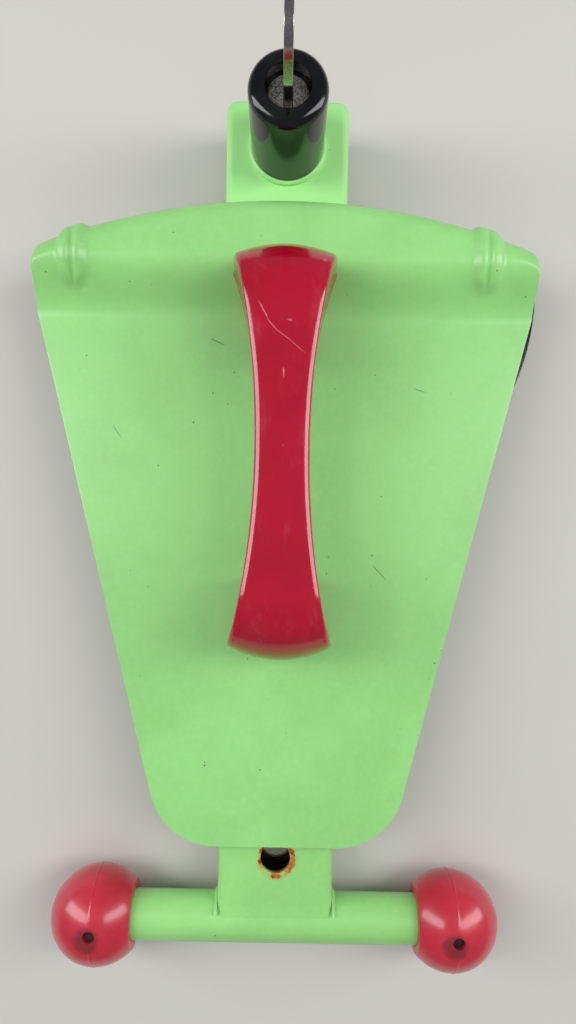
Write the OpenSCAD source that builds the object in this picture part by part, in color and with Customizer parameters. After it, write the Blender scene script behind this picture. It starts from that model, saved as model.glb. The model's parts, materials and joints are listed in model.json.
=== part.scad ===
// Steering wheel lock: a pressed shield with a sliding T-bar, a hinged rear jaw and a key lock.
// X runs across the shield, Y from the T-bar to the lock, Z up. The lock lies on Z = 0.

/* [Shield] */
// Sheet thickness of the shield
sheet_t = 3; // [2:0.5:4]
// Half width of the narrow edge, before its corners are rounded
narrow_half_w = 38.5; // [34:0.5:46]
// Half width across the wide end
wide_half_w = 84; // [76:0.1:92]
// Side flare, in millimetres across for each millimetre along
side_flare = 0.252; // [0.2:0.002:0.32]
// Distance of the narrow edge from the middle
narrow_y = 105; // [98:1:112]
// Radius of the two narrow corners
corner_r = 23; // [12:1:30]
// Distance of the wide edge's crown from the middle
crown_y = 113; // [110:1:120]
// Radius of the wide edge, seen from above
edge_r = 225; // [200:5:260]
// Where the step up to the rim channel starts
step_y = 74; // [70:1:78]
// Length of the sloping step
step_len = 20; // [14:1:20]
// Height of the step
step_h = 9.2; // [6:0.1:10]
// Outside radius of the rolled wide edge
roll_r = 6; // [5:0.5:8]
// Depth of the rolled lip below the flat face
lip_drop = 10; // [7:0.5:12]
// Distance of each corner bead from the middle
bead_x = 68.7; // [60:0.1:72]
// Where a corner bead starts
bead_start_y = 82; // [78:1:86]
// Width of a corner bead
bead_w = 10; // [6:0.5:12]
// Height of a corner bead
bead_h = 1.4; // [0.8:0.1:2]
// How far the wide edge steps in outside the beads
corner_inset = 2; // [1:0.5:3]

/* [T-bar] */
// Width of the flat sliding bar
bar_w = 39.8; // [32:0.1:44]
// Thickness of the flat sliding bar
bar_t = 15; // [12:0.5:17]
// Wall of the flat sliding bar
bar_wall = 1.8; // [1.2:0.1:2.5]
// Inner end of the bar from the middle, pushed in
bar_inner_y = 40; // [36:1:41]
// Travel of the T-bar
bar_travel = 105; // [90:15:105]
// Spacing of the indexing holes along the bar
index_pitch = 15; // [15:15:30]
// Diameter of the hanging hole in the bar
hang_d = 10.4; // [8:0.2:12]
// Hanging hole from the middle
hang_y = 110.6; // [110.6:0.2:114]
// Diameter of the cross tube
tube_d = 17; // [15:0.5:20]
// Wall of the cross tube
tube_wall = 2; // [1.5:0.25:3]
// Cross tube from the middle
tube_y = 134.5; // [130:0.5:140]
// Diameter of the end balls
ball_d = 34; // [30:1:36]
// Distance of each ball's middle from the axis
ball_x = 62.1; // [58:0.5:70]
// Distance of a ball's flat inner face from its middle
ball_flat = 12.5; // [11:0.5:14]
// Depth of the tube past a ball's middle
ball_grip = 4; // [3:0.5:7]
// Diameter of the pin that holds a ball
ball_pin_d = 4; // [3:0.5:5]

/* [Sleeve] */
// Wall of the sleeve under the shield
sleeve_wall = 1.5; // [1.2:0.1:2.5]
// Gap between bar and sleeve
slide_gap = 0.3; // [0.2:0.05:0.4]
// Front end of the sleeve from the middle
sleeve_front_y = 101; // [95:1:103]
// Inner end of the sleeve from the middle
sleeve_inner_y = 41; // [38:1:42]
// Leg of the fillet welds
weld_leg = 2.5; // [1.5:0.5:3]

/* [Indexing plunger] */
// Plunger from the middle, towards the T-bar
plunger_y = 71; // [68:1:72]
// Diameter of the plunger pin
plunger_d = 6; // [5:0.5:7]
// Travel of the plunger
plunger_travel = 5; // [4:0.5:5]
// Outside diameter of the plunger boss
boss_d = 14; // [13:0.5:15]
// Length of the plunger boss
boss_len = 14.4; // [13:0.2:16]
// Outside diameter of the pull knob
knob_d = 17; // [16:0.5:18]

/* [Handle] */
// Length of the handle
handle_len = 132; // [120:1:140]
// Far end of the handle from the middle
handle_end_y = 93.3; // [90:0.1:98]
// Width of the handle at its feet
foot_w = 34; // [30:1:40]
// Width of the handle at its waist
waist_w = 16.5; // [14:0.5:20]
// Height of the handle above the flat face
handle_h = 36; // [32:1:42]
// Thickness of the grip
grip_t = 14; // [12:0.5:16]
// Length of each foot along the handle
foot_len = 26; // [22:1:30]
// Radius of the handle's shoulders, seen from the side
shoulder_r = 22; // [14:1:24]
// Radius of the handle's rounded ends, seen from above
foot_end_r = 31; // [22:1:40]
// Radius of the finger gap's upper corners
gap_r = 10; // [6:0.5:12]
// Thread diameter of the handle screws
screw_d = 6; // [5:0.5:6]

/* [Lock] */
// Width of the lock housing
housing_w = 42.3; // [36:0.1:46]
// Far end of the lock housing from the middle
housing_end_y = 151.5; // [149:0.5:154]
// Gap between the lock housing and the jaw's tongue
tongue_gap = 3.3; // [2.5:0.1:3.5]
// Corner radius of the lock housing
housing_r = 4; // [2:0.5:6]
// Key axis from the middle
key_y = 134.8; // [133:0.2:137]
// Diameter of the barrel cover
barrel_d = 24.6; // [24:0.1:28]
// Height of the barrel above the housing
barrel_h = 35.2; // [28:0.1:38]
// Rounding of the barrel's top edge
barrel_round = 3; // [2:0.5:4]
// Wall of the barrel cover
cover_wall = 1.5; // [1:0.1:2]
// Depth of the recess in the barrel's top
recess_depth = 5; // [4.5:0.5:6]
// Diameter of the recess
recess_d = 13.8; // [13.4:0.1:15]
// Diameter of the lock plug
plug_d = 13; // [12:0.1:13.2]
// Thickness of the key
key_t = 2.5; // [2:0.1:2.8]
// Width of the key's blade
key_w = 8; // [7:0.5:8.5]
// How far the key reaches into the plug
key_reach = 22; // [18:1:23]
// Number of pin stacks
pin_count = 5; // [3:1:6]
// Diameter of a lock pin
pin_d = 2.5; // [2:0.1:2.6]
// Diameter of the locking bolt
bolt_d = 12; // [10:0.5:12.5]
// Travel of the locking bolt for a quarter turn of the plug
bolt_travel = 6.5; // [5:0.1:6.5]

/* [Rear jaw] */
// Hinge axis from the middle
hinge_y = 62; // [60:1:63]
// Hinge axis below the flat face
hinge_drop = 11; // [10.5:0.5:12]
// Diameter of the hinge pin
hinge_pin_d = 8; // [6:0.5:9]
// Outside diameter of the hinge knuckles
knuckle_d = 15; // [14:0.5:15.5]
// Width of the jaw's knuckle
knuckle_w = 19; // [15:0.5:22]
// Width of each hinge ear
ear_w = 6; // [4:0.5:8]
// Plate thickness of the jaw
jaw_t = 4; // [3:0.5:5]
// Rubber wall of the jaw boots
boot_wall = 1; // [0.8:0.1:1.2]
// How far the jaw boots stand out past the shield's sides
boot_overhang = 5.8; // [5:0.1:8]
// How far the right boot's thumb lug stands out past the shield's side
lug_overhang = 8.8; // [7:0.1:10]
// Length of the thumb lug
lug_len = 37; // [28:1:40]
// Radius of the thumb lug's outer face, seen from above
lug_r = 85; // [60:5:120]
// Length of a boot along X
boot_len = 30; // [22:1:36]
// Width of the jaw's cross bar
cross_w = 18; // [14:0.5:20]
// Width of the tongue that the bolt locks
tongue_w = 23; // [20:0.5:26]
// Thickness of the rubber pads that face the rim
pad_t = 1.5; // [1:0.25:2]

/* [Fits] */
// Radial clearance of turning and sliding round parts
run_gap = 0.05; // [0.03:0.01:0.08]
// Clearance round the bolt in the jaw
bolt_gap = 0.4; // [0.3:0.05:0.6]
// Side clearance between moving flat faces
side_gap = 0.3; // [0.2:0.05:0.4]

/* [Hidden] */
$fn = 72;

// Heights are worked out from the flat face of the shield, then lifted onto the ground.
bar_top_z = -sheet_t - sleeve_wall - slide_gap;
bar_mid_z = bar_top_z - bar_t / 2;
ground_z = bar_mid_z - ball_d / 2;
edge_cy = crown_y - edge_r;
side_norm = sqrt(1 + side_flare * side_flare);
side_end_y = (wide_half_w - narrow_half_w) / side_flare - narrow_y;
corner_cx = narrow_half_w + side_flare * corner_r - corner_r * side_norm;
step_facets = 12;
far = 200;
eps = 0.02;

sleeve_out_w = bar_w + 2 * (slide_gap + sleeve_wall);
sleeve_out_t = bar_t + 2 * (slide_gap + sleeve_wall);
sleeve_len = sleeve_front_y + sleeve_inner_y;
end_plug_t = 2.5;
stop_y = bar_inner_y - 10;
stop_d = 6;
stop_gap = 0.2;
bead_weld_r = 1.4;

plunger_body_x = sleeve_out_w / 2;
plunger_cap_x = plunger_body_x + boss_len;
plunger_cap_t = 2;
guide_len = 2.4;
chamber_d = 10;
collar_t = 2;
collar_x = plunger_body_x + guide_len + plunger_travel + 2.5;
stem_d = 3;
tip_gap = 0.35;
knob_inner_x = plunger_cap_x + plunger_cap_t + plunger_travel + 0.2;
knob_end_t = 2.6;
spring_wire = 0.62;
spring_pitch = 0.6;

handle_mid_y = handle_end_y - handle_len / 2;
gap_y0 = handle_end_y - handle_len + foot_len;
gap_y1 = handle_end_y - foot_len - 5;
gap_h = handle_h - grip_t;
screw_y = [handle_end_y - handle_len + foot_len / 2, gap_y1 + 9.5];
insert_d = 9;
insert_len = 11;
insert_z = 1.2;
head_d = 11;
head_t = 2.5;

housing_top_z = -sheet_t;
jaw_bottom_z = ground_z + boot_wall;
jaw_top_z = jaw_bottom_z + jaw_t;
housing_bottom_z = jaw_top_z + tongue_gap;
housing_h = housing_top_z - housing_bottom_z;
barrel_top_z = housing_top_z + barrel_h;
face_z = barrel_top_z - recess_depth;
body_r = barrel_d / 2 - cover_wall - run_gap;
body_bottom_z = housing_top_z - 4.5;
plug_bottom_z = -4;
collar_r = barrel_d / 2 + 1.1;
collar_h = 1.6;
bore_r = plug_d / 2 + run_gap;
keyway_gap = 0.25;
pin_pitch = 3.5;
pin_bore_r = pin_d / 2 + run_gap;
shear_in = plug_d / 2 - 0.15;
shear_out = plug_d / 2 + 0.1;
driver_len = 2;
tail_d = 5;
flange_d = 10;
flange_t = 2;
tail_end_z = housing_bottom_z + 2;
cross_pin_d = 2;
cross_pin_z = housing_bottom_z + 3.4;
cross_pin_reach = 5;
bolt_bottom_z = housing_bottom_z;
bolt_top_z = bolt_bottom_z + 12.7;
bolt_flat = bolt_d / 2 - 0.8;
guide_d = bolt_d + 6;
guide_top_z = housing_bottom_z + 7;
slot_steps = 10;

boot_end_x = wide_half_w + boot_overhang;
lug_x = wide_half_w + lug_overhang;
lug_w = 20;
lug_top_y = 95;
rim_mid_y = 95;
rim_mid_r = rim_mid_y - edge_cy;
arm_toe_y = hinge_y + 15;
arm_heel_y = hinge_y - 6;
boot_end_r = 9;

// Height of the shield's upper face at a distance y along it
function step_z(y) =
    y <= step_y ? 0 :
    y >= step_y + step_len ? step_h :
    step_h * (1 - cos(180 * (y - step_y) / step_len)) / 2;

// Half width of the handle at a distance y along it, before its ends are rounded
function waist_half(y) =
    let (t = min(1, abs(y - handle_mid_y) / (handle_len / 2)))
    waist_w / 2 + (foot_w - waist_w) / 2 * pow(t, 2.1);

module lifted() {
    translate([0, 0, -ground_z]) children();
}

// Extrudes a (Y, Z) outline along X, centred on the middle plane
module across(w) {
    rotate([90, 0, 90]) linear_extrude(w, center=true) children();
}

// Turns a shape made along Z to point along +X, with its base at x
module along_x(x, y, z) {
    translate([x, y, z]) rotate([0, 90, 0]) children();
}

module both_sides() {
    for (side = [-1, 1]) scale_x(side) children();
}

module scale_x(side) {
    if (side < 0) mirror([1, 0, 0]) children();
    else children();
}

module rounded_rect(w, l, r) {
    union() {
        square([w - 2 * r, l], center=true);
        square([w, l - 2 * r], center=true);
        for (x = [-1, 1], y = [-1, 1]) translate([x * (w / 2 - r), y * (l / 2 - r)]) circle(r);
    }
}

// ---- Shield ----

module shield_outline() {
    side_angle = -atan(side_flare);
    corner = [for (i = [0:8]) let (a = -90 + i * (90 + side_angle) / 8)
        [corner_cx + corner_r * cos(a), -narrow_y + corner_r + corner_r * sin(a)]];
    right = concat(corner, [[wide_half_w, side_end_y], [wide_half_w, crown_y + roll_r]]);
    left = [for (i = [len(right) - 1:-1:0]) [-right[i][0], right[i][1]]];
    polygon(concat(right, left));
}

module step_profile(rise, floor_z) {
    slope = [for (i = [0:step_facets]) let (y = step_y + step_len * i / step_facets)
        [y, step_z(y) + rise]];
    polygon(concat([[-narrow_y - 10, floor_z], [-narrow_y - 10, rise]], slope,
                   [[crown_y + 20, step_h + rise], [crown_y + 20, floor_z]]));
}

// Solid under the rolled wide edge, for an edge radius r and a roll radius of its own
module roll_solid(r, roll, top_z, floor_z) {
    translate([0, edge_cy, 0]) rotate_extrude($fn=180) union() {
        translate([0, floor_z]) square([r - roll, top_z - floor_z]);
        translate([0, floor_z]) square([r, top_z - roll - floor_z]);
        translate([r - roll, top_z - roll]) circle(roll, $fn=48);
    }
}

module corner_zone() {
    both_sides() translate([bead_x + bead_w / 2, -far, -far]) cube([far, 2 * far, 2 * far]);
}

module bead_plan() {
    y0 = bead_start_y + bead_w / 2;
    both_sides() translate([bead_x, 0]) union() {
        translate([0, y0]) circle(bead_w / 2);
        translate([-bead_w / 2, y0]) square([bead_w, crown_y - y0]);
    }
}

module shield_outer() {
    difference() {
        intersection() {
            across(far) step_profile(0, -lip_drop);
            roll_solid(edge_r, roll_r, step_h, -lip_drop);
            translate([0, 0, -far / 2]) linear_extrude(far) shield_outline();
        }
        difference() {
            corner_zone();
            roll_solid(edge_r - corner_inset, roll_r, step_h, -2 * lip_drop);
        }
    }
    intersection() {
        across(far) step_profile(bead_h, -lip_drop);
        roll_solid(edge_r + bead_h, roll_r + bead_h, step_h + bead_h, -lip_drop);
        translate([0, 0, -far / 2]) linear_extrude(far) bead_plan();
    }
}

module shield_inner() {
    intersection() {
        across(2 * far) step_profile(-sheet_t, -far / 2);
        roll_solid(edge_r - corner_inset - sheet_t, roll_r - sheet_t, step_h - sheet_t, -far / 2);
    }
}

module screw_holes(d) {
    for (y = screw_y) translate([0, y, -sheet_t - 1]) cylinder(d=d, h=insert_z + sheet_t + insert_len + 2);
}

module head_cone(extra) {
    for (y = screw_y) translate([0, y, -sheet_t - eps])
        cylinder(d1=head_d + extra, d2=screw_d + extra, h=head_t + eps);
}

module shield_plate() {
    color([0.58, 0.84, 0.5]) lifted() difference() {
        shield_outer();
        shield_inner();
        screw_holes(screw_d + 2 * side_gap);
        head_cone(2 * side_gap);
    }
}

module rim_pad() {
    pad_y = step_y + step_len + 0.5;
    pad_r = edge_r - corner_inset - roll_r - 1;
    color([0.1, 0.1, 0.1]) lifted() translate([0, 0, step_h - sheet_t - pad_t]) linear_extrude(pad_t)
        intersection() {
            translate([0, edge_cy]) circle(pad_r, $fn=180);
            translate([-bead_x, pad_y]) square([2 * bead_x, far]);
        }
}

// ---- Sleeve and indexing plunger ----

module guide_sleeve() {
    color([0.55, 0.8, 0.48]) lifted() difference() {
        translate([-sleeve_out_w / 2, -sleeve_front_y, bar_mid_z - sleeve_out_t / 2])
            cube([sleeve_out_w, sleeve_len, sleeve_out_t]);
        translate([-bar_w / 2 - slide_gap, -sleeve_front_y - 1, bar_mid_z - bar_t / 2 - slide_gap])
            cube([bar_w + 2 * slide_gap, sleeve_len + 2, bar_t + 2 * slide_gap]);
        along_x(bar_w / 2 - 1, -plunger_y, bar_mid_z) cylinder(d=plunger_d + 2 * run_gap, h=10);
        stop_slot();
    }
}

module stop_slot() {
    slot_w = stop_d + 2 * stop_gap;
    translate([0, 0, bar_mid_z - sleeve_out_t / 2 - 1]) linear_extrude(sleeve_wall + 2) union() {
        translate([-slot_w / 2, stop_y - bar_travel]) square([slot_w, bar_travel]);
        for (y = [stop_y - bar_travel, stop_y]) translate([0, y]) circle(d=slot_w);
    }
}

module sleeve_welds() {
    weld_len = 18;
    color([0.5, 0.76, 0.44]) lifted() both_sides() for (y = [-60, -20, 18])
        translate([sleeve_out_w / 2, y + weld_len, -sheet_t]) rotate([90, 0, 0]) linear_extrude(weld_len)
            polygon([[0, 0], [weld_leg, 0], [weld_leg * 0.35, -weld_leg * 0.35], [0, -weld_leg]]);
}

module plunger_boss() {
    color([0.45, 0.46, 0.48]) lifted() along_x(plunger_body_x, -plunger_y, bar_mid_z) difference() {
        cylinder(d=boss_d, h=boss_len);
        translate([0, 0, -1]) cylinder(d=plunger_d + 2 * run_gap, h=guide_len + 2);
        translate([0, 0, guide_len]) cylinder(d=chamber_d, h=boss_len);
    }
}

module plunger_cap() {
    color([0.5, 0.5, 0.52]) lifted() along_x(plunger_cap_x, -plunger_y, bar_mid_z) difference() {
        cylinder(d=boss_d, h=plunger_cap_t, $fn=6);
        translate([0, 0, -1]) cylinder(d=stem_d + 2 * run_gap, h=plunger_cap_t + 2);
    }
}

module plunger_pin() {
    tip_x = bar_w / 2 + tip_gap;
    color([0.7, 0.71, 0.73]) lifted() along_x(0, -plunger_y, bar_mid_z) union() {
        translate([0, 0, tip_x + 0.8]) cylinder(d=plunger_d, h=collar_x - tip_x - 0.8);
        translate([0, 0, tip_x]) cylinder(d1=plunger_d - 1.2, d2=plunger_d, h=0.8);
        translate([0, 0, collar_x]) cylinder(d=chamber_d - 2 * side_gap, h=collar_t);
        translate([0, 0, collar_x]) cylinder(d=stem_d, h=knob_inner_x - collar_x);
    }
}

module plunger_spring() {
    spring_x0 = collar_x + collar_t;
    turns = floor((plunger_cap_x - spring_x0 - spring_wire) / spring_pitch);
    color([0.6, 0.6, 0.62]) lifted() along_x(spring_x0, -plunger_y, bar_mid_z) rotate_extrude() union()
        for (i = [0:turns]) translate([chamber_d / 2 - 1, spring_wire / 2 + i * spring_pitch])
            circle(d=spring_wire, $fn=24);
}

module plunger_knob() {
    skirt_x = plunger_cap_x + 2.9;
    knob_edge_x = knob_inner_x + knob_end_t - 1;
    color([0.08, 0.08, 0.09]) lifted() along_x(0, -plunger_y, bar_mid_z) difference() {
        union() {
            translate([0, 0, skirt_x]) cylinder(d=knob_d, h=knob_edge_x - skirt_x);
            translate([0, 0, knob_edge_x]) cylinder(d1=knob_d, d2=knob_d - 2, h=1);
        }
        translate([0, 0, plunger_cap_x - 1]) cylinder(d=boss_d + 0.8, h=knob_inner_x - plunger_cap_x + 1);
    }
}

// ---- T-bar ----

module tube_solid(d, extra) {
    along_x(-far, -tube_y, bar_mid_z) cylinder(d=d, h=2 * far + extra);
}

module slide_bar() {
    color([0.6, 0.85, 0.5]) lifted() difference() {
        translate([-bar_w / 2, -tube_y, bar_mid_z - bar_t / 2]) cube([bar_w, tube_y + bar_inner_y, bar_t]);
        translate([-bar_w / 2 + bar_wall, -tube_y - 1, bar_mid_z - bar_t / 2 + bar_wall])
            cube([bar_w - 2 * bar_wall, tube_y + bar_inner_y + 2, bar_t - 2 * bar_wall]);
        tube_solid(tube_d, 0);
        translate([-far, -tube_y - far, -far]) cube([2 * far, far, 2 * far]);
        translate([0, -hang_y, bar_mid_z - bar_t]) cylinder(d=hang_d, h=2 * bar_t);
        for (y = [-plunger_y:index_pitch:bar_travel - plunger_y])
            along_x(bar_w / 2 - 2 * bar_wall, y, bar_mid_z) cylinder(d=plunger_d + 0.5, h=3 * bar_wall);
        translate([0, stop_y, bar_mid_z - bar_t]) cylinder(d=stop_d, h=bar_t);
    }
}

module bar_welds() {
    color([0.52, 0.78, 0.42]) lifted() difference() {
        intersection() {
            both_sides() along_x(bar_w / 2, -tube_y, bar_mid_z) rotate_extrude()
                translate([tube_d / 2, 0]) circle(bead_weld_r, $fn=24);
            translate([-far, -tube_y + tube_d / 4, -far]) cube([2 * far, far, 2 * far]);
        }
        tube_solid(tube_d, 0);
        translate([-bar_w / 2, -tube_y, -far]) cube([bar_w, far, 2 * far]);
    }
}

module bar_end_plug() {
    inside_w = bar_w - 2 * bar_wall;
    inside_t = bar_t - 2 * bar_wall;
    color([0.1, 0.1, 0.1]) lifted()
        translate([-inside_w / 2, bar_inner_y - end_plug_t, bar_mid_z - inside_t / 2])
            cube([inside_w, end_plug_t, inside_t]);
}

module stop_screw() {
    screw_bottom = bar_mid_z - sleeve_out_t / 2 + 0.3;
    color([0.62, 0.62, 0.64]) lifted() difference() {
        translate([0, stop_y, screw_bottom]) cylinder(d=stop_d, h=bar_mid_z - screw_bottom);
        translate([0, stop_y, screw_bottom - 1]) cylinder(d=3.4, h=2.4, $fn=6);
    }
}

module cross_tube() {
    reach = ball_x + ball_grip;
    color([0.62, 0.88, 0.5]) lifted() difference() {
        along_x(-reach, -tube_y, bar_mid_z) cylinder(d=tube_d, h=2 * reach);
        along_x(-reach - 1, -tube_y, bar_mid_z) cylinder(d=tube_d - 2 * tube_wall, h=2 * reach + 2);
        for (side = [-1, 1]) translate([side * ball_x, -tube_y, bar_mid_z])
            cylinder(d=ball_pin_d + 2 * run_gap, h=tube_d);
    }
}

module ball() {
    difference() {
        translate([ball_x, -tube_y, bar_mid_z]) sphere(d=ball_d, $fn=96);
        translate([-far + ball_x - ball_flat, -far, -far]) cube([far, 2 * far, 2 * far]);
        along_x(0, -tube_y, bar_mid_z) cylinder(d=tube_d + 2 * run_gap, h=ball_x + ball_grip + run_gap);
        translate([ball_x, -tube_y, bar_mid_z]) cylinder(d=ball_pin_d + 2 * run_gap, h=ball_d);
    }
}

module ball_right() {
    color([0.82, 0.18, 0.24]) lifted() ball();
}

module ball_left() {
    color([0.82, 0.18, 0.24]) lifted() mirror([1, 0, 0]) ball();
}

module ball_pins() {
    pin_z = bar_mid_z + tube_d / 2 - tube_wall - 1;
    pin_len = bar_mid_z + ball_d / 2 - 2 - pin_z;
    color([0.3, 0.28, 0.27]) lifted() for (side = [-1, 1])
        translate([side * ball_x, -tube_y, pin_z]) cylinder(d=ball_pin_d, h=pin_len);
}

// ---- Handle ----

module handle_plan() {
    half = handle_len / 2;
    steps = 40;
    right = [for (i = [0:steps])
        let (t = -cos(180 * i / steps), d = half * (1 - abs(t)), y = handle_mid_y + half * t)
        [min(waist_half(y), sqrt(2 * foot_end_r * d - d * d)), y]];
    left = [for (i = [steps - 1:-1:1]) [-right[i][0], right[i][1]]];
    polygon(concat(right, left));
}

module handle_side() {
    y0 = handle_end_y - handle_len;
    difference() {
        union() {
            translate([y0, -1]) square([handle_len, handle_h - shoulder_r + 1]);
            translate([y0 + shoulder_r, -1]) square([handle_len - 2 * shoulder_r, handle_h + 1]);
            for (y = [y0 + shoulder_r, handle_end_y - shoulder_r])
                translate([y, handle_h - shoulder_r]) circle(shoulder_r);
        }
        translate([gap_y0, -2]) square([gap_y1 - gap_y0, gap_h - gap_r + 2]);
        translate([gap_y0 + gap_r, -2]) square([gap_y1 - gap_y0 - 2 * gap_r, gap_h + 2]);
        for (y = [gap_y0 + gap_r, gap_y1 - gap_r]) translate([y, gap_h - gap_r]) circle(gap_r);
    }
}

module handle() {
    color([0.75, 0.08, 0.2]) lifted() difference() {
        intersection() {
            across(far) handle_side();
            translate([0, 0, -2]) linear_extrude(far) handle_plan();
        }
        across(2 * far) step_profile(0, -far / 2);
        for (y = screw_y) translate([0, y, -1]) cylinder(d=insert_d, h=insert_len + insert_z + 2);
    }
}

module handle_inserts() {
    color([0.8, 0.65, 0.3]) lifted() for (y = screw_y) translate([0, y, insert_z]) difference() {
        cylinder(d=insert_d, h=insert_len);
        translate([0, 0, -1]) cylinder(d=screw_d + 2 * run_gap, h=insert_len + 2);
    }
}

module handle_screws() {
    color([0.2, 0.2, 0.2]) lifted() difference() {
        union() {
            for (y = screw_y) translate([0, y, -sheet_t + 0.2])
                cylinder(d1=head_d - 0.4, d2=screw_d, h=head_t);
            for (y = screw_y) translate([0, y, -sheet_t + head_t]) cylinder(d=screw_d, h=insert_len);
        }
        for (y = screw_y) translate([0, y, -sheet_t - 1]) cylinder(d=4, h=2.8, $fn=6);
    }
}

// ---- Lock ----

module lock_housing() {
    y0 = crown_y - 6;
    housing_len = housing_end_y - y0;
    color([0.56, 0.84, 0.46]) lifted() difference() {
        translate([0, (housing_end_y + y0) / 2, housing_bottom_z]) linear_extrude(housing_h)
            rounded_rect(housing_w, housing_len, housing_r);
        translate([0, edge_cy, -far]) cylinder(r=edge_r, h=2 * far, $fn=180);
        translate([0, key_y, body_bottom_z]) cylinder(r=body_r, h=far);
        translate([0, key_y, guide_top_z]) cylinder(d=guide_d, h=body_bottom_z - guide_top_z - 1.2);
        translate([0, key_y, body_bottom_z - 2]) cylinder(d=guide_d - 3, h=3);
        translate([0, key_y, housing_bottom_z - 1])
            cylinder(d=guide_d, h=guide_top_z - housing_bottom_z + 1.5);
    }
}

module housing_weld() {
    color([0.5, 0.76, 0.42]) lifted() intersection() {
        translate([0, edge_cy, 0]) rotate_extrude($fn=180)
            translate([edge_r, housing_top_z])
                polygon([[0, 0], [weld_leg, 0], [weld_leg * 0.4, weld_leg * 0.4], [0, weld_leg]]);
        translate([-housing_w / 2 + housing_r, 0, -far]) cube([housing_w - 2 * housing_r, far, 2 * far]);
    }
}

module barrel_collar() {
    color([0.62, 0.88, 0.54]) lifted() translate([0, key_y, housing_top_z]) difference() {
        cylinder(r=collar_r, h=collar_h);
        translate([0, 0, -1]) cylinder(d=barrel_d, h=collar_h + 2);
    }
}

module barrel_cover() {
    color([0.05, 0.05, 0.05]) lifted() translate([0, key_y, housing_top_z]) difference() {
        rotate_extrude() union() {
            square([barrel_d / 2 - barrel_round, barrel_h]);
            square([barrel_d / 2, barrel_h - barrel_round]);
            translate([barrel_d / 2 - barrel_round, barrel_h - barrel_round]) circle(barrel_round, $fn=48);
        }
        translate([0, 0, -1]) cylinder(r=body_r, h=barrel_h - recess_depth + 1);
        cylinder(d=recess_d, h=barrel_h + 1);
    }
}

module pin_places() {
    for (i = [0:pin_count - 1])
        translate([0, key_y, face_z - 4 - i * pin_pitch]) rotate([-90, 0, 0]) children();
}

module cylinder_body() {
    color([0.72, 0.6, 0.32]) lifted() difference() {
        translate([0, key_y, body_bottom_z]) cylinder(r=body_r, h=face_z - body_bottom_z);
        translate([0, key_y, body_bottom_z - 1]) cylinder(r=bore_r, h=far);
        pin_places() cylinder(r=pin_bore_r, h=barrel_d);
    }
}

module driver_pins() {
    color([0.78, 0.66, 0.35]) lifted() pin_places()
        translate([0, 0, shear_out]) cylinder(d=pin_d, h=driver_len);
}

module pin_springs() {
    spring_y0 = shear_out + driver_len;
    coils = floor((body_r - spring_y0 - 0.5) / 0.45);
    color([0.7, 0.7, 0.72]) lifted() pin_places() rotate_extrude($fn=36) union()
        for (i = [0:coils]) translate([0.9, spring_y0 + 0.25 + i * 0.45]) circle(d=0.5, $fn=16);
}

module lock_plug() {
    color([0.5, 0.5, 0.5]) lifted() difference() {
        translate([0, key_y, plug_bottom_z]) cylinder(d=plug_d, h=face_z - plug_bottom_z);
        translate([-key_t / 2 - keyway_gap, key_y - key_w / 2 - keyway_gap, face_z - key_reach - 1])
            cube([key_t + 2 * keyway_gap, key_w + 2 * keyway_gap, key_reach + 2]);
        pin_places() cylinder(r=pin_bore_r, h=plug_d);
    }
}

module key_pins() {
    pin_start = key_w / 2 + 0.3;
    color([0.78, 0.66, 0.35]) lifted() pin_places() translate([0, 0, pin_start])
        cylinder(d=pin_d, h=shear_in - pin_start);
}

module tailpiece() {
    color([0.55, 0.55, 0.57]) lifted() translate([0, key_y, 0]) union() {
        translate([0, 0, plug_bottom_z - flange_t]) cylinder(d=flange_d, h=flange_t);
        translate([0, 0, tail_end_z]) cylinder(d=tail_d, h=plug_bottom_z - flange_t - tail_end_z);
        along_x(0, 0, cross_pin_z) cylinder(d=cross_pin_d, h=cross_pin_reach);
    }
}

module key() {
    bow_w = 23;
    bow_h = 25;
    neck_z = barrel_top_z + 13;
    blade_z = face_z - key_reach;
    color([0.75, 0.76, 0.78]) lifted() translate([0, key_y, 0]) difference() {
        union() {
            translate([-key_t / 2, -key_w / 2, blade_z + 3]) cube([key_t, key_w, neck_z - blade_z - 3]);
            across(key_t) polygon([[-key_w / 2, blade_z + 3], [-key_w / 2 + 2.5, blade_z],
                                   [key_w / 2 - 2.5, blade_z], [key_w / 2, blade_z + 3]]);
            across(key_t) translate([0, neck_z + bow_h / 2 - 1]) rounded_rect(bow_w, bow_h, 8);
        }
        along_x(-far / 2, 0, neck_z + bow_h - 7) cylinder(d=5, h=far);
    }
}

module d_bolt(d, flat, h) {
    intersection() {
        cylinder(d=d, h=h);
        translate([-d, -d, -1]) cube([2 * d, d + flat, h + 2]);
    }
}

module bolt_guide() {
    guide_h = guide_top_z - housing_bottom_z;
    color([0.8, 0.68, 0.36]) lifted() translate([0, key_y, housing_bottom_z]) difference() {
        cylinder(d=guide_d, h=guide_h);
        translate([0, 0, -1]) d_bolt(bolt_d + 2 * run_gap, bolt_flat + 2 * run_gap, guide_h + 2);
    }
}

module lock_bolt() {
    bore_len = bolt_top_z - tail_end_z;
    slot_w = cross_pin_d + 2 * (side_gap + run_gap);
    color([0.68, 0.69, 0.71]) lifted() translate([0, key_y, 0]) difference() {
        translate([0, 0, bolt_bottom_z]) d_bolt(bolt_d, bolt_flat, bolt_top_z - bolt_bottom_z);
        translate([0, 0, tail_end_z - side_gap]) cylinder(d=tail_d + 2 * run_gap, h=bore_len + 1);
        for (i = [0:slot_steps]) rotate([0, 0, 90 * i / slot_steps])
            translate([0, -slot_w / 2, cross_pin_z - slot_w / 2 + bolt_travel * i / slot_steps])
                cube([cross_pin_reach + side_gap, slot_w, slot_w]);
    }
}

// ---- Rear jaw ----

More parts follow.
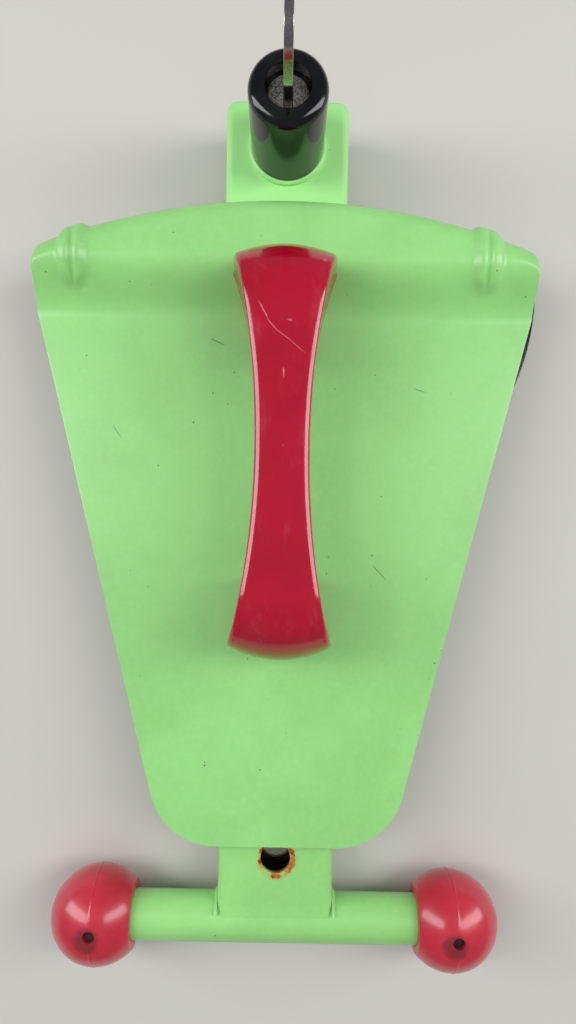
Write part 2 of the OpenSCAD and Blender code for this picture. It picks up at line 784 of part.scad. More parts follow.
module hinge_ears() {
    color([0.52, 0.78, 0.44]) lifted() difference() {
        both_sides() translate([knuckle_w / 2 + side_gap, hinge_y, 0]) union() {
            along_x(0, 0, -hinge_drop) cylinder(d=knuckle_d, h=ear_w);
            translate([0, -knuckle_d / 2, -hinge_drop]) cube([ear_w, knuckle_d, hinge_drop - sheet_t]);
        }
        along_x(-far, hinge_y, -hinge_drop) cylinder(d=hinge_pin_d, h=2 * far);
    }
}

module hinge_pin() {
    reach = knuckle_w / 2 + side_gap + ear_w;
    color([0.7, 0.71, 0.73]) lifted() union() {
        along_x(-reach, hinge_y, -hinge_drop) cylinder(d=hinge_pin_d, h=2 * reach + 1.6);
        along_x(-reach - 2, hinge_y, -hinge_drop) cylinder(d=hinge_pin_d + 4, h=2);
    }
}

module hinge_clip() {
    reach = knuckle_w / 2 + side_gap + ear_w;
    color([0.35, 0.35, 0.37]) lifted() along_x(reach, hinge_y, -hinge_drop) difference() {
        cylinder(d=hinge_pin_d + 4, h=1);
        translate([0, 0, -1]) cylinder(d=hinge_pin_d, h=3);
    }
}

module jaw_arm() {
    color([0.5, 0.76, 0.42]) lifted() difference() {
        union() {
            along_x(-knuckle_w / 2, hinge_y, -hinge_drop) cylinder(d=knuckle_d, h=knuckle_w);
            across(knuckle_w) polygon([
                [hinge_y - knuckle_d / 2, -hinge_drop], [hinge_y + knuckle_d / 2, -hinge_drop],
                [arm_toe_y, jaw_top_z], [arm_heel_y, jaw_top_z]]);
        }
        along_x(-far, hinge_y, -hinge_drop) cylinder(d=hinge_pin_d + 2 * run_gap, h=2 * far);
    }
}

module cross_ring(half_w) {
    translate([0, edge_cy]) difference() {
        circle(rim_mid_r + half_w, $fn=180);
        circle(rim_mid_r - half_w, $fn=180);
    }
}

module wing_plan(end_x, half_w, end_r) {
    mid_y = edge_cy + sqrt(rim_mid_r * rim_mid_r - end_x * end_x);
    intersection() {
        cross_ring(half_w);
        union() {
            translate([-end_x + end_r, 0]) square([2 * (end_x - end_r), far]);
            for (side = [-1, 1])
                translate([side * (end_x - end_r), mid_y + 2.5]) circle(end_r + half_w / 2.2);
        }
    }
}

module jaw_plan() {
    union() {
        wing_plan(boot_end_x - boot_wall - 4.1, cross_w / 2, boot_end_r);
        translate([-knuckle_w / 2, arm_heel_y]) square([knuckle_w, rim_mid_y - arm_heel_y]);
        translate([-tongue_w / 2, rim_mid_y]) square([tongue_w, key_y - rim_mid_y]);
        translate([0, key_y]) circle(d=tongue_w);
    }
}

module jaw_plate() {
    color([0.5, 0.76, 0.42]) lifted() translate([0, 0, jaw_bottom_z]) linear_extrude(jaw_t) difference() {
        jaw_plan();
        translate([0, key_y]) circle(d=bolt_d + 2 * bolt_gap);
    }
}

module boot_plan() {
    intersection() {
        wing_plan(boot_end_x - 4.1, cross_w / 2 + boot_wall, boot_end_r);
        translate([boot_end_x - boot_len, 0]) square([far, far]);
    }
}

module lug_plan() {
    intersection() {
        translate([lug_x - lug_r, lug_top_y - 3]) circle(lug_r, $fn=180);
        translate([lug_x - lug_w / 2 + 1, lug_top_y - lug_len / 2]) rounded_rect(lug_w, lug_len, 3);
    }
}

// Rubber moulded over the jaw's end
module boot() {
    color([0.04, 0.04, 0.05]) lifted() difference() {
        translate([0, 0, ground_z]) linear_extrude(jaw_t + 2 * boot_wall) children();
        translate([0, 0, jaw_bottom_z]) linear_extrude(jaw_t) jaw_plan();
    }
}

module boot_right() {
    boot() union() {
        boot_plan();
        lug_plan();
    }
}

module boot_left() {
    boot() mirror([1, 0, 0]) boot_plan();
}

module jaw_pad() {
    pad_half = boot_end_x - boot_len - 6;
    color([0.1, 0.1, 0.1]) lifted() translate([0, 0, jaw_top_z]) linear_extrude(pad_t) intersection() {
        cross_ring(cross_w / 2 - 1);
        translate([-pad_half, arm_toe_y + 1]) square([2 * pad_half, far]);
    }
}

shield_plate();
rim_pad();
guide_sleeve();
sleeve_welds();
plunger_boss();
plunger_cap();
plunger_spring();
plunger_pin();
plunger_knob();
slide_bar();
bar_welds();
bar_end_plug();
stop_screw();
cross_tube();
ball_left();
ball_right();
ball_pins();
handle();
handle_inserts();
handle_screws();
lock_housing();
housing_weld();
barrel_collar();
barrel_cover();
cylinder_body();
driver_pins();
pin_springs();
lock_plug();
key_pins();
tailpiece();
key();
bolt_guide();
lock_bolt();
hinge_ears();
hinge_pin();
hinge_clip();
jaw_arm();
jaw_plate();
boot_left();
boot_right();
jaw_pad();
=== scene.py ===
import json
from math import atan2, cos, exp, hypot, pi, radians, sin, sqrt

import bmesh
import bpy
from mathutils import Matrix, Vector, noise

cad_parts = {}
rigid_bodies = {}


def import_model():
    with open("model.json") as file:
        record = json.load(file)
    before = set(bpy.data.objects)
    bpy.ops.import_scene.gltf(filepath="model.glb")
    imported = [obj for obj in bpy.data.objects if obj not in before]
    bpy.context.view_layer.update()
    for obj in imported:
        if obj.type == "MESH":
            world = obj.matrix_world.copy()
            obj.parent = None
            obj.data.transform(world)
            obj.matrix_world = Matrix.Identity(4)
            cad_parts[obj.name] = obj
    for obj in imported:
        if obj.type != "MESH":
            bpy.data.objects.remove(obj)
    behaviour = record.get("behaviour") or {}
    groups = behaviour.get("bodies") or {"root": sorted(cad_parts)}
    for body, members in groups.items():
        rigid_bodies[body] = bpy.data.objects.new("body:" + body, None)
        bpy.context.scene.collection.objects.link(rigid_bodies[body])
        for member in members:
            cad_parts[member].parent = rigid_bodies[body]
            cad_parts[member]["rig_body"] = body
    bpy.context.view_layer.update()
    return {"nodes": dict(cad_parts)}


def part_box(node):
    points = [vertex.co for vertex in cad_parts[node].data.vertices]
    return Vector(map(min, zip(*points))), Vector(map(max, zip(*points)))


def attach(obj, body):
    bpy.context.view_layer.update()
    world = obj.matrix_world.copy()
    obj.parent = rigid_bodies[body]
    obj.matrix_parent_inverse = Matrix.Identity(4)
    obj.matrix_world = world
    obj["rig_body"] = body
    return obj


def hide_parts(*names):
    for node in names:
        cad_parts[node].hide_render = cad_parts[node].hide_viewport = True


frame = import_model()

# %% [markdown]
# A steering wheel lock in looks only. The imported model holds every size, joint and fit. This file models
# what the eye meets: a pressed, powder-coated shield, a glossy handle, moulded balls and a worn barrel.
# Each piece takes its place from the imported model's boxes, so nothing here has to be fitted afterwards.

MM = 0.001


def size_mm(node):
    """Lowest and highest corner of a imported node, in millimetres."""
    low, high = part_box(node)
    return low / MM, high / MM


# %% [markdown]
# The shield's flat face is the level that everything else is measured from. The handle stands on it, so
# the handle's lowest point gives that level without writing the number a second time.

# %% Levels and middles that the pieces share
shield_low, shield_high = size_mm("shield_plate")
flat_z = size_mm("handle")[0].z
barrel_low, barrel_high = size_mm("barrel_cover")
key_y = (barrel_low.y + barrel_high.y) / 2
tube_low, tube_high = size_mm("cross_tube")
tube_y = (tube_low.y + tube_high.y) / 2
tube_z = (tube_low.z + tube_high.z) / 2
print("flat face at z", round(flat_z, 2), "key axis at y", round(key_y, 2))

# %% [markdown]
# The camera first. It hangs about 25 cm above the shield and looks straight down at it, so close that tall
# pieces lean outwards in the picture. A wide lens at that distance gives the right swelling of the barrel.
# The small shift slides the frame over the scene without tilting the camera.

# %% The camera
EYE_X, EYE_HEIGHT = 0.75 * MM, 252 * MM
LENS_SHARE = 0.7236
ROLL = radians(1.0)
SHIFT = (0.0049, 0.0264)
bpy.ops.object.camera_add(location=(EYE_X, 0, flat_z * MM + EYE_HEIGHT), rotation=(0, 0, ROLL))
camera = bpy.context.object
camera.data.sensor_width = 36
camera.data.lens = LENS_SHARE * camera.data.sensor_width
camera.data.shift_x, camera.data.shift_y = SHIFT
bpy.context.scene.camera = camera
print("camera height above the floor in mm:", round(camera.location.z / MM, 1))

# %% [markdown]
# The stage is a pale floor and soft light. Two tall soft boxes, left and right, draw the pair of long
# highlights on every rounded edge, and a broad dim panel overhead keeps the flat face even. The panel is
# left out of mirror reflections, so that the glossy handle keeps its deep red instead of a pale sheen.

# %% Floor, lights and sky
bpy.ops.mesh.primitive_plane_add(size=6)
floor = bpy.context.object
floor.name = "floor"
LIGHT_TARGET = Vector((0.0, 0.02, 0.03))


def soft_box(name, place, width, height, watts):
    """Adds a rectangular area light that faces the object."""
    bpy.ops.object.light_add(type="AREA", location=place)
    lamp = bpy.context.object
    lamp.name = name
    lamp.data.shape = "RECTANGLE"
    lamp.data.size = width
    lamp.data.size_y = height
    lamp.data.energy = watts
    lamp.rotation_euler = (LIGHT_TARGET - lamp.location).to_track_quat("-Z", "Y").to_euler()
    return lamp


for side, name in ((-1, "left_light"), (1, "right_light")):
    soft_box(name, (side * 0.72, 0.16, 0.62), 0.34, 1.1, 6.2)
top_light = soft_box("top_light", (0.0, -0.1, 1.7), 1.8, 1.8, 8.8)
top_light.visible_glossy = False
world = bpy.data.worlds.new("pale_room")
bpy.context.scene.world = world
bpy.context.scene.view_settings.view_transform = "Standard"
world.use_nodes = True
sky = world.node_tree.nodes["Background"].inputs
sky["Color"].default_value = (0.86, 0.9, 0.95, 1)
sky["Strength"].default_value = 0.2

# %% [markdown]
# Materials are built from nodes. One function turns a hex colour into linear light, and one adds a node
# with its settings and its links. Every pattern reads Object coordinates in metres, so a scale of 1000
# gives a pattern about a millimetre across.

# %% Helpers for materials


def linear(hex_colour):
    """An sRGB hex colour as linear red, green, blue and alpha."""
    parts = [int(hex_colour[i:i + 2], 16) / 255 for i in (0, 2, 4)]
    return tuple(c / 12.92 if c <= 0.04045 else ((c + 0.055) / 1.055) ** 2.4 for c in parts) + (1.0,)


def add(tree, kind, settings=None, **links):
    """Adds a node. settings are its properties and socket values, links are sockets that it is fed from."""
    node = tree.nodes.new(kind)
    for name, value in (settings or {}).items():
        if hasattr(node, name):
            setattr(node, name, value)
        else:
            node.inputs[int(name[1:]) if name[1:].isdigit() else name].default_value = value
    for name, source in links.items():
        socket = int(name[1:]) if name[1:].isdigit() else name.replace("_", " ")
        tree.links.new(source, node.inputs[socket])
    return node


# %% [markdown]
# A Paint holds one material while it is built. Its methods add nodes for the patterns that wear is made
# of: clouds, specks, rings and boxes. They mix colours by them, and stack small bumps.

# %% The Paint class


class Paint:
    """A material under construction: its tree, its shader and its Object coordinates."""

    def __init__(self, name, roughness, metallic=0.0, coat=0.0, coat_roughness=0.1):
        self.material = bpy.data.materials.new(name)
        self.material.use_nodes = True
        self.tree = self.material.node_tree
        self.shader = self.tree.nodes["Principled BSDF"]
        self.shader.inputs["Roughness"].default_value = roughness
        self.shader.inputs["Metallic"].default_value = metallic
        self.shader.inputs["Coat Weight"].default_value = coat
        self.shader.inputs["Coat Roughness"].default_value = coat_roughness
        self.place = add(self.tree, "ShaderNodeTexCoord").outputs["Object"]
        self.height = None

    def noise(self, size_mm, detail=2.0, rough=0.5, stretch=(1, 1, 1), shift=(0, 0, 0)):
        """Cloudy noise with blobs about size_mm across."""
        moved = add(self.tree, "ShaderNodeMapping", {"Scale": stretch, "Location": shift}, Vector=self.place)
        clouds = add(self.tree, "ShaderNodeTexNoise",
                     {"Scale": 1 / (size_mm * MM), "Detail": detail, "Roughness": rough},
                     Vector=moved.outputs[0])
        return clouds.outputs["Fac"]

    def spots(self, spacing_mm, radius, shift=(0, 0, 0)):
        """1 inside round spots about spacing_mm apart, 0 outside. radius is a share of the spacing."""
        moved = add(self.tree, "ShaderNodeMapping", {"Location": shift}, Vector=self.place)
        cells = add(self.tree, "ShaderNodeTexVoronoi", {"Scale": 1 / (spacing_mm * MM)},
                    Vector=moved.outputs[0])
        return self.ramp(cells.outputs["Distance"], radius, radius * 0.6)

    def ramp(self, value, low, high):
        """Maps value to 0 at low and 1 at high, smoothly. low may be above high."""
        return add(self.tree, "ShaderNodeMapRange",
                   {"interpolation_type": "SMOOTHSTEP", "#1": low, "#2": high}, n0=value).outputs[0]

    def math(self, operation, first, second):
        """Two values combined. Either may be a number."""
        node = add(self.tree, "ShaderNodeMath", {"operation": operation, "use_clamp": False})
        for socket, value in zip(node.inputs, (first, second)):
            if isinstance(value, (int, float)):
                socket.default_value = value
            else:
                self.tree.links.new(value, socket)
        return node.outputs[0]

    def mix(self, share, first, second):
        """Colour between first and second by share. Colours are hex strings or sockets."""
        node = add(self.tree, "ShaderNodeMix", {"data_type": "RGBA"})
        for name, value in ((0, share), (6, first), (7, second)):
            if isinstance(value, str):
                node.inputs[name].default_value = linear(value)
            elif isinstance(value, (int, float)):
                node.inputs[name].default_value = value
            else:
                self.tree.links.new(value, node.inputs[name])
        return node.outputs[2]

    def over(self, base, mask, share, colour):
        """base with a colour laid over it where mask is 1. share is how strongly it covers."""
        return self.mix(self.math("MULTIPLY", mask, share), base, colour)

    def scaled(self, value, factor, plus):
        """value times factor, plus a number or another value."""
        return self.math("ADD", self.math("MULTIPLY", value, factor), plus)

    def vector(self, operation, first, second=None):
        """Two vectors combined, or one measured. Either may be three fixed numbers."""
        node = add(self.tree, "ShaderNodeVectorMath", {"operation": operation})
        for socket, value in zip(node.inputs, (first, second)):
            if isinstance(value, bpy.types.NodeSocket):
                self.tree.links.new(value, socket)
            elif value is not None:
                socket.default_value = value
        return node.outputs["Value" if operation in ("LENGTH", "DOT_PRODUCT") else "Vector"]

    def near(self, point_mm, reach_mm, soft_mm):
        """1 within reach_mm of a point seen from above, fading to 0 over soft_mm."""
        offset = self.vector("SUBTRACT", self.place, Vector(point_mm) * MM)
        length = self.vector("LENGTH", self.vector("MULTIPLY", offset, (1, 1, 0)))
        return self.ramp(length, (reach_mm + soft_mm) * MM, reach_mm * MM)

    def within(self, low_mm, high_mm):
        """1 inside the box between two corners, 0 outside."""
        middle, half = (low_mm + high_mm) / 2 * MM, (high_mm - low_mm) / 2 * MM
        away = self.vector("ABSOLUTE", self.vector("SUBTRACT", self.place, middle))
        axes = add(self.tree, "ShaderNodeSeparateXYZ", None, Vector=away).outputs
        tests = [self.math("LESS_THAN", axis, size) for axis, size in zip(axes, half)]
        return self.math("MULTIPLY", tests[0], self.math("MULTIPLY", tests[1], tests[2]))

    def bump(self, height, depth_mm):
        """Raises the surface by depth_mm where height is 1, on top of any earlier bump."""
        node = add(self.tree, "ShaderNodeBump", {"Strength": 1.0, "Distance": depth_mm * MM}, Height=height)
        if self.height is not None:
            self.tree.links.new(self.height, node.inputs["Normal"])
        self.height = node.outputs[0]

    def done(self, colour, roughness=None):
        """Links the finished colour, roughness and bump to the shader."""
        if isinstance(colour, str):
            self.shader.inputs["Base Color"].default_value = linear(colour)
        else:
            self.tree.links.new(colour, self.shader.inputs["Base Color"])
        if roughness is not None:
            self.tree.links.new(roughness, self.shader.inputs["Roughness"])
        if self.height is not None:
            self.tree.links.new(self.height, self.shader.inputs["Normal"])
        return self.material


# %% [markdown]
# A scuff is drawn as a thin line between two points. The distance from a point to a segment is the
# length of what is left after taking away its share along the segment, which a few vector nodes work out.

# %% A scratch as a line segment


def scratch(paint, start_mm, end_mm, width_mm):
    """1 on a thin line from start to end, seen from above, and 0 away from it."""
    start, end = Vector(start_mm) * MM, Vector(end_mm) * MM
    along = end - start
    offset = paint.vector("SUBTRACT", paint.vector("MULTIPLY", paint.place, (1, 1, 0)), start)
    dot = paint.vector("DOT_PRODUCT", offset, along / along.length_squared)
    share = add(paint.tree, "ShaderNodeClamp", None, Value=dot).outputs[0]
    part = add(paint.tree, "ShaderNodeVectorMath", {"operation": "SCALE", "#0": along}, Scale=share)
    gap = paint.vector("LENGTH", paint.vector("SUBTRACT", offset, part.outputs[0]))
    fade = paint.ramp(share, 0.0, 0.3)
    tail = paint.ramp(share, 1.0, 0.6)
    line = paint.ramp(gap, width_mm * MM, width_mm * MM * 0.3)
    return paint.math("MULTIPLY", line, paint.math("MULTIPLY", fade, tail))


# %% [markdown]
# Powder coat is polyester powder baked onto steel. It flows into a skin with a faint orange peel, about a
# millimetre from bump to bump, and it is half glossy. Years of use leave dark specks where grit has bitten
# in, grey bloom in the hollows and a few hairline scuffs.

# %% Powder-coated steel


def powder_coat(name, colour="92D67E", shade="88C874", specks=True, rust_at=None, scuffs=(),
                painted_shade_inside=None):
    paint = Paint(name, roughness=0.34, coat=0.22, coat_roughness=0.22)
    clouds = paint.ramp(paint.noise(38, 3, 0.55), 0.35, 0.7)
    fine = paint.ramp(paint.noise(2.2, 2, 0.6), 0.3, 0.8)
    base = paint.over(colour, clouds, 0.75, shade)
    base = paint.over(base, fine, 0.12, "B4E89C")
    paint.bump(paint.noise(1.3, 1, 0.4), 0.012)
    if specks:
        rare = paint.ramp(paint.noise(21, 2, 0.6, shift=(0.3, 0.1, 0)), 0.5, 0.62)
        dots = paint.math("MULTIPLY", paint.spots(5.5, 0.075), rare)
        grit = paint.math("MULTIPLY", paint.spots(2.1, 0.11, shift=(0.02, 0.01, 0)),
                          paint.ramp(paint.noise(9, 3, 0.7, shift=(0.1, 0, 0)), 0.6, 0.7))
        dark = paint.math("MAXIMUM", dots, paint.math("MULTIPLY", grit, 0.6))
        base = paint.over(base, dark, 0.8, "46583A")
        paint.bump(dark, -0.04)
    for start, end, width in scuffs:
        mark = scratch(paint, start, end, width)
        base = paint.over(base, mark, 0.75, "4C6440")
        paint.bump(mark, -0.03)
    roughness = paint.ramp(paint.noise(17, 3, 0.6), 0.0, 1.0)
    roughness = paint.scaled(roughness, 0.14, 0.28)
    if rust_at:
        point, reach = rust_at
        ring = paint.near(point, reach, 3.4)
        blot = paint.noise(4.2, 3, 0.6, shift=(0.013, 0.004, 0))
        rust = paint.ramp(paint.math("MULTIPLY", ring, paint.math("ADD", blot, 0.2)), 0.55, 0.72)
        stain = paint.ramp(paint.math("MULTIPLY", ring, paint.math("ADD", blot, 0.3)), 0.36, 0.8)
        base = paint.over(base, stain, 0.6, "C09A40")
        flakes = paint.ramp(paint.noise(1.4, 3, 0.7), 0.35, 0.65)
        base = paint.mix(rust, base, paint.mix(flakes, "B4671F", "6B3410"))
        roughness = paint.scaled(rust, 0.45, roughness)
        paint.bump(paint.math("MULTIPLY", rust, paint.noise(0.8, 3, 0.7)), 0.12)
    # Painted shade: the box inside the hollow bar is coloured dark olive, standing in for the shade within
    # the tube.
    if painted_shade_inside:
        base = paint.mix(paint.within(*painted_shade_inside), base, "1E2013")
    return paint.done(base, roughness)


# %% [markdown]
# The handle is moulded plastic with a polished tool's gloss. Its wear is light: cloudy rubbing, one long
# curved scratch and a few nicks where keys have knocked it.

# %% Glossy moulded plastic


def gloss_plastic(name, colour, shade, marks):
    roughness = 0.16
    paint = Paint(name, roughness=roughness, coat=0.5, coat_roughness=0.06)
    clouds = paint.ramp(paint.noise(26, 3, 0.55), 0.3, 0.75)
    base = paint.mix(clouds, colour, shade)
    rubbed = paint.ramp(paint.noise(6.5, 4, 0.7, stretch=(1, 0.35, 1)), 0.52, 0.78)
    base = paint.over(base, rubbed, 0.1, "D9707E")
    paint.bump(paint.noise(2.4, 1, 0.4), 0.01)
    dust = paint.math("MULTIPLY", paint.spots(3.3, 0.07), paint.ramp(paint.noise(8, 2, 0.5), 0.5, 0.6))
    base = paint.over(base, dust, 0.5, "E3A0A8")
    for start, end, width in marks:
        mark = scratch(paint, start, end, width)
        base = paint.over(base, mark, 0.4, "E78F96")
        paint.bump(mark, -0.05)
    rough = paint.scaled(rubbed, 0.16, roughness)
    return paint.done(base, rough)


# %% [markdown]
# The balls are the same red in a softer moulding with a satin skin. Handling and dirt have dulled them,
# most of all round the pin hole on top, where grime collects.

# %% Satin moulded plastic


def satin_plastic(name, colour, shade, grime_at):
    roughness = 0.32
    paint = Paint(name, roughness=roughness, coat=0.5, coat_roughness=0.13)
    base = paint.mix(paint.ramp(paint.noise(14, 4, 0.6), 0.3, 0.72), colour, shade)
    paint.bump(paint.noise(1.6, 2, 0.5), 0.02)
    for point, reach in grime_at:
        blot = paint.noise(3.2, 4, 0.7)
        ring = paint.near(point, reach, 6.0)
        dirt = paint.ramp(paint.math("MULTIPLY", ring, paint.math("ADD", blot, 0.3)), 0.34, 0.78)
        base = paint.over(base, dirt, 0.65, "5A2226")
    specks = paint.math("MULTIPLY", paint.spots(2.6, 0.1), paint.ramp(paint.noise(7, 3, 0.6), 0.55, 0.65))
    base = paint.over(base, specks, 0.6, "6E2A2E")
    rough = paint.scaled(paint.noise(5, 3, 0.6), 0.2, roughness - 0.1)
    return paint.done(base, rough)


# %% [markdown]
# Metals keep Blender's own metallic shading and differ in colour and in how they were worked: turned and
# plated steel has fine rings or streaks, die-cast zinc that has lived outdoors is pitted, brass is warm.

# %% Metals


def plated_steel(name, colour="B9BCC0", shade="8E9296", roughness=0.28, streak=(1, 1, 12)):
    paint = Paint(name, roughness=roughness, metallic=1.0)
    lines = paint.noise(0.9, 3, 0.6, stretch=streak)
    base = paint.mix(paint.ramp(lines, 0.3, 0.7), colour, shade)
    base = paint.mix(paint.ramp(paint.noise(9, 3, 0.6), 0.55, 0.8), base, shade)
    paint.bump(lines, 0.008)
    rough = paint.scaled(paint.noise(6, 3, 0.6), 0.22, roughness - 0.08)
    return paint.done(base, rough)


def pitted_zinc(name):
    paint = Paint(name, roughness=0.55, metallic=0.75)
    grain = paint.noise(0.55, 4, 0.75)
    coarse = paint.noise(1.7, 3, 0.6)
    base = paint.mix(paint.ramp(grain, 0.36, 0.66), "55514B", "D2CFC8")
    base = paint.mix(paint.math("MULTIPLY", paint.ramp(coarse, 0.5, 0.72), 0.6), base, "8A8378")
    pits = paint.spots(0.75, 0.3)
    base = paint.over(base, pits, 0.7, "2C2924")
    paint.bump(grain, 0.12)
    paint.bump(pits, -0.2)
    return paint.done(base)


def rubber(name, colour="0B0B0D", shade="1A1A1C", roughness=0.5, rib_mm=None):
    paint = Paint(name, roughness=roughness, coat=0.25 if roughness < 0.4 else 0.0, coat_roughness=0.15)
    base = paint.mix(paint.ramp(paint.noise(7, 3, 0.6), 0.35, 0.7), colour, shade)
    paint.bump(paint.noise(0.7, 2, 0.6), 0.02)
    if rib_mm:
        wave = add(paint.tree, "ShaderNodeTexWave",
                   {"Scale": 1 / (rib_mm * MM * 3.2), "bands_direction": "X"}, Vector=paint.place)
        paint.bump(wave.outputs["Fac"], 0.3)
    return paint.done(base)


# %% [markdown]
# Now the modelling. A few helpers do what the hand does in the viewport: clear the selection, pick
# vertices by place, run an operator in edit mode, and apply a modifier at once.

# %% Helpers for modelling


def clear_selection():
    bpy.ops.object.select_all(action="DESELECT")


def select_only(obj):
    clear_selection()
    bpy.context.view_layer.objects.active = obj
    obj.select_set(True)


def edit(obj, mode):
    """Enters edit mode on obj alone, choosing in mode VERT, EDGE or FACE, with nothing selected."""
    select_only(obj)
    bpy.ops.object.mode_set(mode="EDIT")
    bpy.ops.mesh.select_mode(type=mode)
    bpy.ops.mesh.select_all(action="DESELECT")
    return bmesh.from_edit_mesh(obj.data)


def pick(obj, items, test):
    """Selects the vertices, edges or faces that pass the test."""
    for item in items:
        if test(item):
            item.select_set(True)
    bmesh.update_edit_mesh(obj.data)


def leave_edit():
    bpy.ops.object.mode_set(mode="OBJECT")


# %% [markdown]
# Modifiers are applied as soon as they are set, so each step can be looked at. A boolean takes one solid out
# of another, the way a drill or a mill would.

# %% Helpers that change a whole mesh


def modify(obj, kind, **settings):
    """Adds a modifier, sets it up and applies it."""
    select_only(obj)
    modifier = obj.modifiers.new(kind.lower(), kind)
    for name, value in settings.items():
        setattr(modifier, name, value)
    bpy.ops.object.modifier_apply(modifier=modifier.name)


def break_edges(obj, width_mm, segments, angle):
    """Bevels every edge that turns by more than the angle in degrees."""
    modify(obj, "BEVEL", width=width_mm * MM, segments=segments, limit_method="ANGLE",
           angle_limit=radians(angle))


def settle(obj):
    """Puts the object's place, turn and size into its mesh."""
    select_only(obj)
    bpy.ops.object.transform_apply(location=True, rotation=True, scale=True)


def outward(obj):
    """Merges doubled vertices and turns every face outwards."""
    edit(obj, "VERT")
    bpy.ops.mesh.select_all(action="SELECT")
    bpy.ops.mesh.remove_doubles(threshold=0.005 * MM)
    bpy.ops.mesh.normals_make_consistent(inside=False)
    leave_edit()


def cut(obj, cutter):
    """Takes the cutter's solid out of obj, and throws the cutter away."""
    modify(obj, "BOOLEAN", object=cutter, operation="DIFFERENCE", solver="EXACT")
    bpy.data.objects.remove(cutter)


def loose_copy(source):
    """A copy of an object with its own mesh, and with no parent or marks of the frame."""
    copy = source.copy()
    copy.data = source.data.copy()
    for key in list(copy.keys()):
        del copy[key]
    copy.parent = None
    bpy.context.scene.collection.objects.link(copy)
    return copy


# %% [markdown]
# A finished piece is handed over with its name, its paint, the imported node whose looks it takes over, and
# the body that it moves with. On pieces made of flat faces and small roundings, weighted normals let the
# big faces shade flat, as on any bevelled machine part.

# %% Handing over a finished piece


def release(obj, name, node, material, angle=35, weighted=False):
    """Names a finished piece, shades it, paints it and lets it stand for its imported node."""
    settle(obj)
    bpy.ops.object.shade_smooth_by_angle(angle=radians(angle))
    if weighted:
        modify(obj, "WEIGHTED_NORMAL", keep_sharp=True)
    obj.name = name
    obj.data.materials.clear()
    obj.data.materials.append(material)
    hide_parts(node)
    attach(obj, frame["nodes"][node]["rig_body"])
    print(name, "has", len(obj.data.polygons), "faces")


# %% [markdown]
# The shield is one sheet, pressed in a tool. It is modelled the way a press works: start with a flat grid
# of faces, and let a formula say where each point of the sheet ends up. Rows run across the shield, from
# the narrow edge over the flat, up the step, round the rolled wide edge and down its lip.

# %% The press tool's formula
SHEET = 3.0
FLARE = 0.252
CORNER_R = 23.0
EDGE_R = 225.0
ROLL_R = 6.0
STEP_Y, STEP_LEN, STEP_H = 74.0, 20.0, 9.2
BEAD_START_Y = 82.0
LEFT_BEAD_X, RIGHT_BEAD_X, BEAD_HALF, BEAD_H = 70.6, 66.9, 5.0, 1.9
wide_half = shield_high.x
narrow_y = shield_low.y
edge_middle_y = shield_high.y - EDGE_R
lip_depth = flat_z - shield_low.z
flare_length = sqrt(1 + FLARE * FLARE)
flare_end_y = 75.6
narrow_half = wide_half - FLARE * (flare_end_y - narrow_y)
corner_x = narrow_half + FLARE * CORNER_R - CORNER_R * flare_length
corner_sweep = pi / 2 - atan2(FLARE, 1)


def ease(t):
    """Smooth rise from 0 to 1."""
    t = min(1.0, max(0.0, t))
    return t * t * (3 - 2 * t)


def step_height(y):
    t = min(1.0, max(0.0, (y - STEP_Y) / STEP_LEN))
    return STEP_H * (1 - cos(pi * t)) / 2


def outline_half(y):
    """Half width of the shield above its rounded narrow corners."""
    return min(wide_half, narrow_half + FLARE * (y - narrow_y))


# %% [markdown]
# Near each wide corner the press raises a bead, which stiffens the corner. It is two ribs with a crease
# between them. Each side has its own place, since the real tool is a few millimetres out of true. The
# crease fades out round the rolled edge.

# %% The corner beads


def past_bead(x):
    """Distance outwards from the middle of the bead on x's side, as a share of the bead's half width."""
    return (abs(x) - (RIGHT_BEAD_X if x > 0 else LEFT_BEAD_X)) / BEAD_HALF


def bead_height(x, y, crease_share=1.0):
    """Height of the pressed corner beads: two ribs with a crease between, rounded at their lower end."""
    across = past_bead(x)
    if abs(across) >= 1:
        return 0.0
    end = ease((y - BEAD_START_Y - 3.0 * across * across) / 3.6)
    rib = (1 - across ** 4) ** 1.2
    crease = 0.7 * crease_share * exp(-(across / 0.17) ** 2)
    return BEAD_H * end * (rib - crease)


# %% [markdown]
# The last part of the formula lays out the rows: round the narrow corners, along the flat, up the step,
# round the rolled edge and down the lip. Columns stand closer together at the sides, where the beads are.

# %% Where the press leaves each point
FLAT_ROWS, BEND_ROWS, ROLL_ROWS, LIP_ROWS, CORNER_ROWS = 70, 34, 14, 8, 16
ROWS = CORNER_ROWS + FLAT_ROWS + BEND_ROWS + ROLL_ROWS + LIP_ROWS
COLUMNS = 168
MIDDLE_COLUMNS, MIDDLE_SHARE = 0.52, 0.70
TIP_REACH, TIP_DROP = 2.0, 1.2


def column(u):
    """Share of the half width for a column from -1 to 1, closer together towards the beads."""
    side, t = (1 if u >= 0 else -1), abs(u)
    if t < MIDDLE_COLUMNS:
        return side * MIDDLE_SHARE * t / MIDDLE_COLUMNS
    return side * (MIDDLE_SHARE + (1 - MIDDLE_SHARE) * (t - MIDDLE_COLUMNS) / (1 - MIDDLE_COLUMNS))


